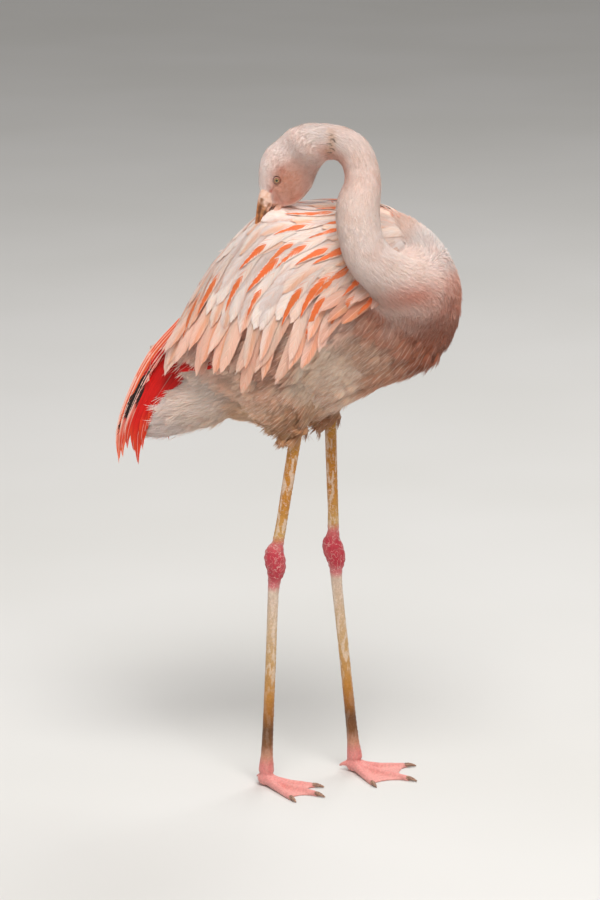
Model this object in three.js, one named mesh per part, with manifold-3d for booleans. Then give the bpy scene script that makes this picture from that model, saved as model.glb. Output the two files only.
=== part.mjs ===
// A Chilean flamingo standing with its neck laid back along its right side and its bill tucked between
// its wings, as a still, life-size model. Millimetres, +Z up; the bird faces +X and its left is +Y.
// Each part of the body is its own closed solid, and neighbours keep a thin gap.
import * as THREE from "three";
import { mergeVertices } from "three/addons/utils/BufferGeometryUtils.js";
import Module from "manifold-3d";

const wasm = await Module();
wasm.setup();

const GAP = 0.35; // clearance between neighbouring parts
const { sin, cos, atan2, PI, sqrt, max, min } = Math;
const V = (x, y, z) => new THREE.Vector3(x, y, z);
const lerp = THREE.MathUtils.lerp;
const smoothstep = THREE.MathUtils.smoothstep;

// ---------------------------------------------------------------- shaping helpers

/** A smooth curve through [x, value] pairs, level beyond its ends. */
function profile(pairs) {
  const slope = (i) => {
    const a = pairs[max(i - 1, 0)];
    const b = pairs[min(i + 1, pairs.length - 1)];
    return (b[1] - a[1]) / (b[0] - a[0]);
  };
  return (x) => {
    if (x <= pairs[0][0]) return pairs[0][1];
    if (x >= pairs.at(-1)[0]) return pairs.at(-1)[1];
    const i = pairs.findIndex(([next]) => next > x) - 1;
    const [x0, y0] = pairs[i];
    const [x1, y1] = pairs[i + 1];
    const h = x1 - x0;
    const t = (x - x0) / h;
    const ends = y0 * (1 + 2 * t) * (1 - t) ** 2 + y1 * t * t * (3 - 2 * t);
    return ends + h * t * (1 - t) * (slope(i) * (1 - t) - slope(i + 1) * t);
  };
}

/** A three.js geometry with its vertices moved by `place` and merged, ready to be a solid. */
function moulded(geometry, place) {
  for (const name of ["normal", "uv"]) geometry.deleteAttribute(name);
  const points = geometry.getAttribute("position");
  const p = new THREE.Vector3();
  for (let i = 0; i < points.count; i++) {
    place(p.fromBufferAttribute(points, i));
    points.setXYZ(i, p.x, p.y, p.z);
  }
  return mergeVertices(geometry, 1e-4);
}

/** A closed body from a unit ball whose poles lie on X. */
function ball(around, along, place) {
  return moulded(new THREE.SphereGeometry(1, around, along).rotateZ(PI / 2), place);
}

/** A closed tube along a curve: girth(t) gives its half-widths [across, deep]; `side` points across. */
function tube(points, girth, { side = V(0, 1, 0), sides = 12, steps = 12 } = {}) {
  const line = new THREE.CatmullRomCurve3(points);
  return moulded(new THREE.CylinderGeometry(1, 1, 1, sides, steps), (p) => {
    const t = min(max(p.y + 0.5, 0), 1);
    const along = line.getTangent(t);
    const across = side.clone().addScaledVector(along, -side.dot(along)).normalize();
    const deep = V().crossVectors(across, along);
    const [a, d] = girth(t);
    const { x, z } = p;
    p.copy(line.getPoint(t)).addScaledVector(across, a * x).addScaledVector(deep, d * z);
  });
}

/** A curve's radius list as a smooth function of its parameter, grown by `extra`. */
function girths(list, flat = 1, extra = 0) {
  const line = new THREE.SplineCurve(list.map((r, i) => new THREE.Vector2(i, r)));
  return (t) => {
    const r = line.getPoint(t).y;
    return [r + extra, r * flat + extra];
  };
}

/** A plate with the outline of `shape`, from z = low to z = high before it is turned. */
function plate(shape, low, high, curveSegments = 6) {
  const options = { depth: high - low, bevelEnabled: false, curveSegments };
  return new THREE.ExtrudeGeometry(shape, options).translate(0, 0, low);
}

// ---------------------------------------------------------------- joining and cutting

function solid(geometry) {
  const g = geometry.clone();
  for (const name of ["normal", "uv"]) g.deleteAttribute(name);
  const merged = mergeVertices(g, 1e-4);
  return new wasm.Manifold(
    new wasm.Mesh({
      numProp: 3,
      vertProperties: new Float32Array(merged.getAttribute("position").array),
      triVerts: new Uint32Array(merged.index.array),
    }),
  );
}

const cut = (body, ...tools) => tools.reduce((left, tool) => left.subtract(tool), body);
const joined = (...bodies) => bodies.reduce((all, body) => all.add(body));
const largest = (body) => body.decompose().sort((a, b) => b.volume() - a.volume())[0];

/** Half of space on the far side of a plane, as a big box. */
function beyond(point, normal, reach = 600) {
  const box = new THREE.BoxGeometry(reach, reach, reach).translate(0, 0, reach / 2);
  const turn = new THREE.Quaternion().setFromUnitVectors(V(0, 0, 1), normal.clone().normalize());
  return solid(box.applyQuaternion(turn).translate(point.x, point.y, point.z));
}

/** Parts a long body by planes across it, leaving a thin gap at each plane. */
function parted(body, planes) {
  const pieces = [];
  let rest = body;
  for (const [point, along] of planes) {
    const back = along.clone().multiplyScalar(-1);
    pieces.push(largest(cut(rest, beyond(point.clone().addScaledVector(along, -GAP / 2), along))));
    rest = largest(cut(rest, beyond(point.clone().addScaledVector(along, GAP / 2), back)));
  }
  return [...pieces, rest];
}

const bird = new THREE.Group();

const FINISH = {
  plumage: [0xe9c2b2, 0.85],
  pale: [0xe8d6cd, 0.85],
  scarlet: [0xd9381f, 0.8],
  horn: [0xc9976b, 0.5],
  black: [0x171413, 0.35],
  eye: [0xd8c98f, 0.1],
  leg: [0xa89060, 0.6],
  joint: [0xb83a55, 0.6],
  web: [0xd98b8b, 0.6],
};

/** Adds a solid to the bird as a named mesh with its own material. */
function add(name, body, finish, tidy = 0.12) {
  const m = largest(tidy ? body.simplify(tidy) : body).getMesh();
  const g = new THREE.BufferGeometry();
  const places = new Float32Array(m.numVert * 3);
  for (let i = 0; i < m.numVert; i++) {
    places.set(m.vertProperties.subarray(i * m.numProp, i * m.numProp + 3), i * 3);
  }
  g.setAttribute("position", new THREE.BufferAttribute(places, 3));
  g.setIndex(new THREE.BufferAttribute(m.triVerts, 1));
  const [color, roughness] = FINISH[finish];
  const mesh = new THREE.Mesh(g, new THREE.MeshStandardMaterial({ color, roughness }));
  mesh.name = name;
  bird.add(mesh);
}

const SIDES = { right: -1, left: 1 }; // the sign of Y on each side

// ---------------------------------------------------------------- trunk
// An egg laid along X with its blunt end, the breast, raised.

const TRUNK = { nose: 198, rump: -158, wide: 88 };
const trunkMid = profile([[-158, 509], [-111, 529], [-36, 557], [22, 572], [108, 588], [198, 596]]);
const trunkUp = profile([[-158, 92], [-73, 122], [22, 131], [108, 136], [198, 142]]);
const trunkDown = profile([[-158, 108], [-73, 126], [22, 130], [108, 113], [198, 142]]);

function trunkForm(extra = 0, around = 22, along = 15) {
  const middle = (TRUNK.nose + TRUNK.rump) / 2;
  const reach = (TRUNK.nose - TRUNK.rump) / 2;
  return ball(around, along, (p) => {
    const x = middle + p.x * reach;
    const keel = 1 - 0.16 * smoothstep(-p.z, 0, 1); // the breast narrows downwards
    const ridge = 1 - 0.1 * smoothstep(p.z, 0, 1);
    const high = p.z > 0 ? trunkUp(x) : trunkDown(x);
    p.set(
      middle + p.x * (reach + extra),
      p.y * (TRUNK.wide * keel * ridge + extra),
      trunkMid(x) + p.z * (high + extra),
    );
  });
}

// ---------------------------------------------------------------- vent and tail
// The downy lobe under the tail, and the short tail feathers that lie on it.

function ventForm(extra = 0) {
  const spine = [V(-40, 0, 486), V(-85, 0, 474), V(-130, 0, 463), V(-166, 0, 447), V(-196, 0, 425)];
  const line = new THREE.CatmullRomCurve3(spine);
  const deep = profile([[0, 48], [0.35, 44], [0.7, 43], [1, 38]]);
  const wide = profile([[0, 64], [0.5, 56], [1, 42]]);
  return ball(16, 11, (p) => {
    const t = (1 - p.x) / 2;
    const at = line.getPoint(min(max(t, 0), 1));
    p.set(at.x + extra * p.x, p.y * (wide(t) + extra), at.z + p.z * (deep(t) + extra));
  });
}

function tailForm(extra = 0) {
  const spine = [V(-120, 0, 549), V(-150, 0, 509), V(-176, 0, 478), V(-196, 0, 450)];
  const girth = (t) => [lerp(34, 26, t) + extra, lerp(14, 4, t) + extra];
  return tube(spine, girth, { sides: 10, steps: 4 });
}

// ---------------------------------------------------------------- neck
// It leaves the breast, folds back along the right side, rises over the back and bends down to the head.

const NECK = [
  { at: V(118, 6, 594), r: 43 },
  { at: V(150, -20, 607), r: 44 },
  { at: V(150, -52, 618), r: 39.5 },
  { at: V(128, -77, 635), r: 33 },
  { at: V(105, -88, 658), r: 29.5 },
  { at: V(94, -88, 685), r: 28 },
  { at: V(90, -82, 714), r: 27.6 },
  { at: V(94, -74, 743), r: 23.6 },
  { at: V(84, -65, 770), r: 22.2 },
  { at: V(60, -57, 784), r: 21.6 },
  { at: V(36, -50, 780), r: 24.2 },
  { at: V(15, -45, 772), r: 25 },
];

function neckForm(extra = 0, sides = 12, steps = 22) {
  const line = NECK.map(({ at }) => at);
  const girth = girths(NECK.map(({ r }) => r), 1, extra);
  return tube(line, girth, { side: V(0.4, 0.75, 0.5), sides, steps });
}

// ---------------------------------------------------------------- head
// Its own axes: s runs forward to the bill, u up to the crown and y to the left; millimetres.

const HEAD = { at: V(0, -42, 749), down: 47, turn: 7 }; // the bill points this far below level, degrees
const headFrame = new THREE.Matrix4()
  .makeRotationZ(PI + (HEAD.turn * PI) / 180)
  .multiply(new THREE.Matrix4().makeRotationY((HEAD.down * PI) / 180))
  .setPosition(HEAD.at);
const inHead = (geometry) => geometry.applyMatrix4(headFrame);

const headTop = profile([
  [-50, 30], [-38, 33.5], [-20, 35.5], [0, 36.5], [12, 35], [24, 29.5], [36, 20.5], [46, 10], [54, 2],
]);
const headLow = profile([[-50, -20], [-27, -28.5], [0, -34], [16, -36], [28, -34.5], [38, -30], [54, -17]]);
const headWide = profile([[-50, 21], [-20, 23.5], [5, 23.5], [22, 21], [36, 17], [52, 11.5]]);

function headForm(extra = 0, around = 16, along = 12) {
  const [back, front] = [-46, 54];
  return inHead(
    ball(around, along, (p) => {
      const s = (front + back) / 2 + (p.x * (front - back)) / 2;
      const round = sqrt(max(0, 1 - p.x * p.x)) || 1;
      const blunt = min(1, round ** 0.42) / round; // keeps the ends full
      const middle = (headTop(s) + headLow(s)) / 2;
      const high = (headTop(s) - headLow(s)) / 2;
      const cheek = 1 - 0.06 * cos(2 * atan2(p.z, p.y)); // flatter at the sides than an oval
      p.set(
        s + p.x * extra,
        p.y * (blunt * cheek * headWide(s) + extra),
        middle + p.z * (blunt * high + extra),
      );
    }),
  );
}

// ---------------------------------------------------------------- bill
// Both halves are bent down in the middle; the lower one is the deeper.

const CULMEN = [
  [40, 8], [50, 3.5], [67, -8.5], [80, -19], [88, -33], [91, -50], [90, -65], [86.5, -76],
];
const GAPE = [
  [40, -8], [50, -14], [64, -23], [75, -34], [81.5, -48], [84.5, -62], [85, -70], [84, -77],
];
const JAW = [
  [40, -22], [46, -27], [57, -37], [66.5, -47.5], [74, -58], [79.5, -67], [81, -72], [83, -77.5],
];
const BILL_HALF = [11.5, 11, 10.2, 10.6, 9.6, 7.4, 5, 2.2];

function billHalf(upper, lower, extra = 0) {
  const spline = (pairs) => new THREE.SplineCurve(pairs.map(([s, u]) => new THREE.Vector2(s, u)));
  const [high, low] = [spline(upper), spline(lower)];
  const wide = girths(BILL_HALF);
  return inHead(
    moulded(new THREE.CylinderGeometry(1, 1, 1, 8, 9), (p) => {
      const t = min(max(p.y + 0.5, 0), 1);
      const [a, b] = [high.getPoint(t), low.getPoint(t)];
      const across = a.clone().sub(b);
      const grown = 1 + (2 * extra) / across.length();
      const middle = a.clone().add(b).multiplyScalar(0.5).addScaledVector(across, (p.z * grown) / 2);
      p.set(middle.x, -(wide(t)[0] + extra) * p.x, middle.y);
    }),
  );
}

const EYE = { s: 17.5, u: 1.6, out: 16.4, r: 5.4 };

function eyeForm(side, extra = 0) {
  const ballOfEye = new THREE.SphereGeometry(EYE.r + extra, 10, 7);
  return inHead(ballOfEye.translate(EYE.s, -side * EYE.out, EYE.u));
}

// ---------------------------------------------------------------- wings
// A folded wing is a thick cloak over the trunk's side. Its lower edge is a row of feather tips.

const CLOAK = { front: 152, back: -172 };
const cloakTop = profile([
  [-172, 504], [-158, 532], [-145, 556], [-124, 601], [-89, 650],
  [-38, 694], [10, 705], [60, 711], [110, 711], [152, 684],
]);
const cloakLow = profile([[-172, 496], [-140, 444], [-60, 429], [20, 436], [100, 466], [152, 544]]);
const cloakHalf = profile([[-172, 46], [-120, 76], [-50, 96], [20, 101], [90, 98], [152, 74]]);

function cloakForm() {
  const { front, back } = CLOAK;
  return ball(22, 16, (p) => {
    const x = (front + back) / 2 + (p.x * (front - back)) / 2;
    const round = sqrt(max(0, 1 - p.x * p.x)) || 1;
    const blunt = min(1, round ** 0.3) / round; // full nearly to both ends
    const middle = trunkMid(x) + 14;
    const high = p.z > 0 ? cloakTop(x) - middle : middle - cloakLow(x);
    p.set(x, p.y * blunt * cloakHalf(x), middle + p.z * blunt * high);
  });
}

/** A feather seen flat: its shaft runs through `points`, and it narrows to a rounded tip. */
function vaneShape(points, half, steps = 6) {
  const shaft = new THREE.SplineCurve(points.map(([x, z]) => new THREE.Vector2(x, z)));
  const width = profile([[0, 0.7], [0.4, 1], [0.75, 0.9], [0.93, 0.5], [1, 0]]);
  const edge = (sideSign) =>
    Array.from({ length: steps }, (_, i) => {
      const t = i / steps;
      const along = shaft.getTangent(t);
      const across = new THREE.Vector2(-along.y, along.x).multiplyScalar(sideSign * half * width(t));
      return shaft.getPoint(t).add(across);
    });
  return new THREE.Shape([...edge(1), shaft.getPoint(1), ...edge(-1).reverse()]);
}

// The long feathers hanging along the wing's lower edge, front to back: each tip's place and how far
// up the wing its root lies.
const DRAPE = [
  [108, 596, 56], [86, 575, 66], [61, 555, 78], [34, 527, 92], [6, 504, 108],
  [-19, 512, 100], [-44, 492, 118], [-70, 513, 98], [-98, 509, 100], [-124, 514, 90],
];

/** The wing seen from the side: the shoulder and back as one field, fringed by the hanging feathers. */
function wingOutline() {
  const lower = [[152, 654], [122, 617], [66, 586], [14, 556], [-50, 544], [-112, 538], [-150, 526]];
  const field = [[-175, 724], [155, 724], ...lower, [-175, 564]];
  const shapes = [new THREE.Shape(field.map(([x, z]) => new THREE.Vector2(x, z)))];
  DRAPE.forEach(([x, z, reach], i) => {
    const t = i / (DRAPE.length - 1);
    const [slope, bow] = [lerp(0.85, 0.1, t), lerp(0.02, 0.12, t)]; // the rear ones hang and curve more
    const root = [x + slope * reach, z + reach];
    const bend = [lerp(x, root[0], 0.45) - bow * reach, lerp(z, root[1], 0.45)];
    shapes.push(vaneShape([root, bend, [x, z]], 14.5));
  });
  return joined(...shapes.map((shape) => solid(plate(shape, 0, 140).rotateX(PI / 2))));
}

/** The wing seen from above: the mantle stays open between the two wings and narrows to the rear. */
function wingFromAbove() {
  const shape = new THREE.Shape();
  const inner = [[150, -58], [110, -52], [60, -34], [0, -20], [-70, -8], [-172, -3]];
  shape.moveTo(-172, -150);
  shape.lineTo(150, -150);
  for (const [x, y] of inner) shape.lineTo(x, y);
  shape.closePath();
  return solid(plate(shape, 300, 800));
}

// The flight feathers' ends, each a narrow blade: its shaft in the side view, half-width and how far
// out from the bird's middle it lies.
const FLIGHT = [
  { shaft: [[-136, 560], [-172, 516], [-200, 459], [-212, 419], [-213, 385]], half: 7.5, out: 26 },
  { shaft: [[-130, 552], [-164, 508], [-190, 458], [-201, 428], [-203, 404]], half: 7.5, out: 30 },
  { shaft: [[-122, 545], [-153, 501], [-177, 454], [-187, 419], [-185, 384]], half: 7, out: 34 },
  { shaft: [[-108, 540], [-140, 496], [-166, 458], [-176, 436], [-178, 416]], half: 7.5, out: 38 },
];
const BLADE = 5; // how thick each blade is

function flightForm() {
  const blades = FLIGHT.map(({ shaft, half, out }) => {
    return solid(plate(vaneShape(shaft, half), out, out + BLADE).rotateX(PI / 2));
  });
  return joined(...blades);
}

const mirrored = (body) => body.mirror([0, 1, 0]);

// ---------------------------------------------------------------- legs
// Each leg is one limb from the feathered thigh to the toes, parted at its joints.

const LEG = {
  right: {
    joints: [V(8, -40, 449), V(-22, -32, 279), V(-36, -21, 17)], // hip, hock and heel
    heading: -20,
    spread: 0.66,
  },
  left: {
    joints: [V(26, 40, 449), V(29, 47, 274), V(53, 57, 17)],
    heading: -15,
    spread: 1.03,
  },
};
const SHIN_R = 6.6;
const HOCK_R = 12.2;
const SHANK_R = 6.3;
const ANKLE_R = 9.6;
const HOCK_HALF = 24; // from the joint's centre to where the pink skin ends

function thighForm(side, extra = 0) {
  const [hip] = LEG[side].joints;
  return ball(14, 9, (p) => {
    const low = smoothstep(-p.z, 0.2, 1); // drawn in towards the bare leg
    const reach = lerp(1, 0.55, low);
    p.set(
      hip.x - 20 + p.x * (52 + extra) * reach + 12 * low,
      hip.y + p.y * (41 + extra) * reach,
      hip.z + 40 + p.z * (66 + extra),
    );
  });
}

/** The leg's point that lies `reach` millimetres from its hock towards `end`. */
const fromHock = (hock, end, reach) => hock.clone().lerp(end, reach / hock.distanceTo(end));

function legForm(side, extra = 0) {
  const [hip, hock, heel] = LEG[side].joints;
  const knob = V(HOCK_R * 0.16, 0, 0); // the joint bulges back above and forward below
  const stations = [
    [hip, SHIN_R + 0.8],
    [hip.clone().lerp(hock, 0.45), SHIN_R],
    [fromHock(hock, hip, HOCK_HALF), SHIN_R + 0.4],
    [fromHock(hock, hip, 10).sub(knob), HOCK_R],
    [fromHock(hock, heel, 8).add(knob), HOCK_R - 0.6],
    [fromHock(hock, heel, HOCK_HALF + 2), SHANK_R + 0.6],
    [hock.clone().lerp(heel, 0.45), SHANK_R],
    [hock.clone().lerp(heel, 0.9), SHANK_R + 0.6],
    [heel, ANKLE_R],
  ];
  const girth = girths(stations.map(([, r]) => r), 0.86, extra);
  return tube(stations.map(([at]) => at), girth, { side: V(1, 0, 0), sides: 10, steps: 20 });
}

const TOES = [
  { name: "inner", turn: 38, length: 60, r: 3.9 },
  { name: "middle", turn: 0, length: 75, r: 4.2 },
  { name: "outer", turn: -41, length: 66, r: 3.9 },
];
const CLAW = { length: 10, r: 2.6 };
const WEB = 2; // how thick the web is at its free edge

const onFloor = (body) => cut(body, beyond(V(0, 0, 0), V(0, 0, -1)));

/** Where a toe's tip lies on the floor, at a part `share` of its length. */
function toeTip({ turn, length }, spread, share = 1) {
  const a = (turn * spread * PI) / 180;
  return V(cos(a) * length * share, sin(a) * length * share, 0);
}

/** The web: a plate between the toes, drawn back between their tips. */
function webForm(spread, thick) {
  const fan = new THREE.Shape();
  fan.moveTo(4, 0);
  TOES.forEach((toe, i) => {
    const tip = toeTip(toe, spread, 0.95);
    if (i === 0) {
      fan.lineTo(tip.x, tip.y);
      return;
    }
    const bay = toeTip(TOES[i - 1], spread, 0.95).add(tip).multiplyScalar(0.5 * 0.72);
    fan.quadraticCurveTo(bay.x, bay.y, tip.x, tip.y);
  });
  fan.closePath();
  return solid(plate(fan, 0, thick, 5));
}

/** A right foot at the origin, heading +X: three webbed toes and a small raised hind toe. */
function footFlesh(spread) {
  const round = { side: V(0, 0, 1), sides: 8, steps: 4 };
  const toes = TOES.map((toe) => {
    const line = [
      V(-1, 0, 9),
      toeTip(toe, spread, 0.3).setZ(5),
      toeTip(toe, spread, 0.66).setZ(3.4),
      toeTip(toe, spread).setZ(2.6),
    ];
    return solid(tube(line, girths([7.6, toe.r + 0.7, toe.r, toe.r - 0.9], 0.9), round));
  });
  // The web rises to the ankle as a low cone, which its outline cuts off.
  const cone = new THREE.CylinderGeometry(5, 25, 9, 12).rotateX(PI / 2);
  const tent = solid(moulded(cone, (p) => p.set(p.x * 0.9 + 11, p.y * 0.85, p.z + 4.5)));
  const heelPad = solid(ball(8, 6, (p) => p.set(p.x * 11, p.y * 9.5, 8.5 + p.z * 9.5)));
  const hindLine = [V(-4, 3, 11), V(-12, 5, 9), V(-18, 6, 6)];
  const hind = solid(tube(hindLine, girths([4, 2.8, 1.2]), { sides: 6, steps: 3 }));
  return onFloor(joined(webForm(spread, WEB), tent.intersect(webForm(spread, 12)), heelPad, hind, ...toes));
}

/** The three claws of the same foot, each grown by `extra`. */
function footClaws(spread, extra = 0) {
  return TOES.map((toe) => {
    const at = (ahead, z) => toeTip({ turn: toe.turn, length: toe.length + ahead }, spread).setZ(z);
    const girth = girths([CLAW.r, CLAW.r - 0.3, 0.7], 1, extra);
    const line = [at(-4 - extra, 3.2), at(3, 3.1), at(CLAW.length, 1.2)];
    return onFloor(solid(tube(line, girth, { side: V(0, 0, 1), sides: 6, steps: 3 })));
  });
}

// ---------------------------------------------------------------- putting the bird together

const trunkCutter = solid(trunkForm(GAP));
const ventCutter = solid(ventForm(GAP));
const tailCutter = solid(tailForm(GAP));
const neckCutter = solid(neckForm(GAP));
const headSolid = solid(headForm());
const headCutter = solid(headForm(GAP));
const billCutters = [
  solid(billHalf(CULMEN, GAPE, GAP + 0.3)),
  solid(billHalf(GAPE, JAW, GAP + 0.3)),
];
const thighCutters = Object.keys(SIDES).map((side) => solid(thighForm(side, GAP)));
const legCutters = Object.keys(SIDES).map((side) => solid(legForm(side, GAP)));

add("trunk", cut(solid(trunkForm()), ...billCutters), "plumage", 0.35);
add("vent", cut(solid(ventForm()), trunkCutter), "pale");
add("tail", cut(solid(tailForm()), trunkCutter, ventCutter), "scarlet");

const neckLine = new THREE.CatmullRomCurve3(NECK.map(({ at }) => at));
const neckCuts = [4.2, 7.4].map((knot) => {
  const t = knot / (NECK.length - 1);
  return [neckLine.getPoint(t), neckLine.getTangent(t)];
});
const neckPieces = parted(largest(cut(solid(neckForm()), trunkCutter, headCutter)), neckCuts);
["neck_base", "neck_middle", "neck_top"].forEach((name, i) => add(name, neckPieces[i], "pale"));

const eyeCutters = Object.values(SIDES).map((side) => solid(eyeForm(side, GAP)));
add("head", cut(headSolid, ...eyeCutters), "pale", 0.2);
for (const [side, sideSign] of Object.entries(SIDES)) {
  add(`eye_${side}`, solid(eyeForm(sideSign)), "eye", 0);
}
const upperBill = solid(billHalf(CULMEN, GAPE));
add("bill_upper", cut(upperBill, headCutter), "horn");
const upperCutter = solid(billHalf(CULMEN, GAPE, GAP));
add("bill_lower", cut(solid(billHalf(GAPE, JAW)), headCutter, upperCutter), "black");

const cloak = solid(cloakForm());
const wingBlock = cloak.intersect(wingOutline()).intersect(wingFromAbove());
const wingFor = { right: wingBlock, left: mirrored(wingBlock) };
const flight = flightForm();
const flightFor = { right: flight, left: mirrored(flight).translate([12, 0, 14]) };
for (const side of Object.keys(SIDES)) {
  const middle = [trunkCutter, ventCutter, tailCutter, neckCutter, headCutter];
  add(`wing_${side}`, cut(wingFor[side], ...middle, ...billCutters, ...thighCutters), "plumage", 0.35);
}
const wingCutters = Object.keys(SIDES).map((side) => wingFor[side]);
for (const side of Object.keys(SIDES)) {
  const nudges = [V(GAP, 0, GAP), V(-GAP, 0, -GAP), V(0, GAP, 0), V(0, -GAP, 0)];
  const wings = wingCutters.flatMap((w) => nudges.map((n) => w.translate([n.x, n.y, n.z])));
  add(`flight_${side}`, cut(flightFor[side], trunkCutter, ventCutter, tailCutter, ...wings), "scarlet");
}

const ANKLE_TOP = 19; // where the shank ends and the foot begins

Object.keys(SIDES).forEach((side, i) => {
  const { joints, heading, spread } = LEG[side];
  const [hip, hock, heel] = joints;
  const down = (a, b) => b.clone().sub(a).normalize();
  const lift = heel.clone().setZ(ANKLE_TOP);
  const planes = [
    [fromHock(hock, hip, HOCK_HALF), down(hip, hock)],
    [fromHock(hock, heel, HOCK_HALF), down(hock, heel)],
    [lift, V(0, 0, -1)],
  ];
  const limb = largest(cut(solid(legForm(side)), trunkCutter));
  const [shin, hockPiece, shank, stump] = parted(limb, planes);
  const turned = (body) => {
    const handed = side === "left" ? mirrored(body) : body;
    return handed.rotate([0, 0, heading]).translate([heel.x, heel.y, 0]);
  };
  const thigh = cut(solid(thighForm(side)), trunkCutter, ventCutter, legCutters[i]);
  const sole = onFloor(joined(turned(footFlesh(spread)), stump));
  const shankGap = beyond(lift.clone().setZ(ANKLE_TOP - GAP / 2), V(0, 0, 1));
  const clawCutters = footClaws(spread, GAP).map(turned);
  add(`thigh_${side}`, thigh, "plumage");
  add(`shin_${side}`, shin, "leg");
  add(`hock_${side}`, hockPiece, "joint");
  add(`shank_${side}`, shank, "leg");
  add(`foot_${side}`, cut(sole, shankGap, ...clawCutters), "web", 0.24);
  footClaws(spread).forEach((claw, k) => add(`claw_${TOES[k].name}_${side}`, turned(claw), "horn", 0));
});

// The origin is on the floor under the middle of the bird's box.
const box = new THREE.Box3().setFromObject(bird);
bird.position.set(-(box.min.x + box.max.x) / 2, -(box.min.y + box.max.y) / 2, -box.min.z);

export default bird;
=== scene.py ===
import math

import bmesh
import bpy
import numpy as np
from mathutils import Matrix, Vector
from mathutils import noise as lumps


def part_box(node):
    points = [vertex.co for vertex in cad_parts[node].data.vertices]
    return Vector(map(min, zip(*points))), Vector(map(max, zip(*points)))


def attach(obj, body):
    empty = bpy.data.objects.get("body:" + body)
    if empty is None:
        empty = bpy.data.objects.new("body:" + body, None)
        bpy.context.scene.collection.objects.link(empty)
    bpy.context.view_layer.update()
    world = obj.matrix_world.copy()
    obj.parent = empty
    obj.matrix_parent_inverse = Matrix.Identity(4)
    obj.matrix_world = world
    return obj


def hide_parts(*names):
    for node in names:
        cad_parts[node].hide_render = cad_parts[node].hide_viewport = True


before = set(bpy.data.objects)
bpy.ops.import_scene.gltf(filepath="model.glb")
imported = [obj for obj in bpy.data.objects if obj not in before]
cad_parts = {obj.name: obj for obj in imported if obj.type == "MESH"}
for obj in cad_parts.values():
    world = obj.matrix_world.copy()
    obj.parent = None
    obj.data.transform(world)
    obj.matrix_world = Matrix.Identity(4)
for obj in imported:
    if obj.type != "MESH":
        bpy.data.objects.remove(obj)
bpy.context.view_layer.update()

scene = bpy.context.scene

# ---------------------------------------------------------------------------------------------
# Standing place, camera, floor and lamps
# The bird stands on a pale floor and faces +X, turned a little away from the camera. Places are in
# metres from `home`, the floor point under the bird's middle line.
# ---------------------------------------------------------------------------------------------
BREAST_REACH = 0.198     # how far the breast reaches ahead of home
trunk_low, trunk_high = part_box("trunk")
home = np.array([trunk_high.x - BREAST_REACH, (trunk_low.y + trunk_high.y) / 2, 0.0])

VIEW_TURN = math.radians(15)     # the camera stands this far round towards the bird's front
VIEW_FALL = math.radians(13.8)   # and looks down this much
VIEW_DISTANCE = 4.68
VIEW_CENTRE = (0.0, 0.0, 0.408)
towards_camera = Vector((
    math.sin(VIEW_TURN) * math.cos(VIEW_FALL),
    -math.cos(VIEW_TURN) * math.cos(VIEW_FALL),
    math.sin(VIEW_FALL),
))
camera_data = bpy.data.cameras.new("camera")
camera_data.lens = 160
camera_data.sensor_width = 36
camera_data.clip_start = 0.1
camera_data.clip_end = 100
camera = bpy.data.objects.new("camera", camera_data)
camera.location = Vector(home) + Vector(VIEW_CENTRE) + towards_camera * VIEW_DISTANCE
camera.rotation_mode = "QUATERNION"
camera.rotation_quaternion = (-towards_camera).to_track_quat("-Z", "Y")
scene.collection.objects.link(camera)
scene.camera = camera

scene.view_settings.view_transform = "Standard"
world = bpy.data.worlds.new("soft_room")
world.use_nodes = True
world.node_tree.nodes["Background"].inputs["Color"].default_value = (1.0, 0.975, 0.95, 1)
world.node_tree.nodes["Background"].inputs["Strength"].default_value = 0.35
scene.world = world


def new_object(name, data):
    """An object in the scene that shows a mesh or a lamp."""
    obj = bpy.data.objects.new(name, data)
    scene.collection.objects.link(obj)
    return obj


def lamp(name, place, aim, size, power, colour=(1, 1, 1)):
    """A big square soft lamp that points at a spot on the bird."""
    data = bpy.data.lights.new(name, "AREA")
    data.size = size
    data.energy = power
    data.color = colour
    obj = new_object(name, data)
    obj.location = Vector(home) + Vector(place)
    obj.rotation_mode = "QUATERNION"
    obj.rotation_quaternion = (Vector(aim) - Vector(place)).to_track_quat("-Z", "Y")


lamp("key", (0.9, -2.1, 4.0), (0, 0, 0.5), 2.0, 172, (1.0, 0.98, 0.95))
lamp("fill", (-3.0, -2.0, 1.8), (0, 0, 0.5), 2.5, 9)
lamp("back", (0.6, 2.4, 3.6), (0, 0, 0.6), 2.0, 60)


def node(tree, kind, inputs=(), **settings):
    """A new node in a tree; each input takes a value or another node's output socket."""
    made = tree.nodes.new(kind)
    for key, value in settings.items():
        setattr(made, key, value)
    for key, value in dict(inputs).items():
        if isinstance(value, bpy.types.NodeSocket):
            tree.links.new(value, made.inputs[key])
        else:
            made.inputs[key].default_value = value
    return made


def noise(tree, vector, scale, detail=2.0):
    """Smooth noise from 0 to 1 on a vector; scale is in bumps to a metre."""
    return node(
        tree, "ShaderNodeTexNoise", {"Vector": vector, "Scale": scale, "Detail": detail}
    ).outputs["Fac"]


def ramp(tree, value, low, high, to_low=0.0, to_high=1.0):
    """Carries a value from low..high to to_low..to_high with soft ends."""
    spans = {"Value": value, "From Min": low, "From Max": high, "To Min": to_low, "To Max": to_high}
    return node(tree, "ShaderNodeMapRange", spans, interpolation_type="SMOOTHSTEP").outputs["Result"]


def mixed(tree, share, first, second, blend="MIX"):
    """Two colours mixed; share is how much of the second shows."""
    inputs = {0: share}
    for socket, value in ((6, first), (7, second)):
        inputs[socket] = value if isinstance(value, bpy.types.NodeSocket) else (*value, 1)
    return node(tree, "ShaderNodeMix", inputs, data_type="RGBA", blend_type=blend).outputs[2]


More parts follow.
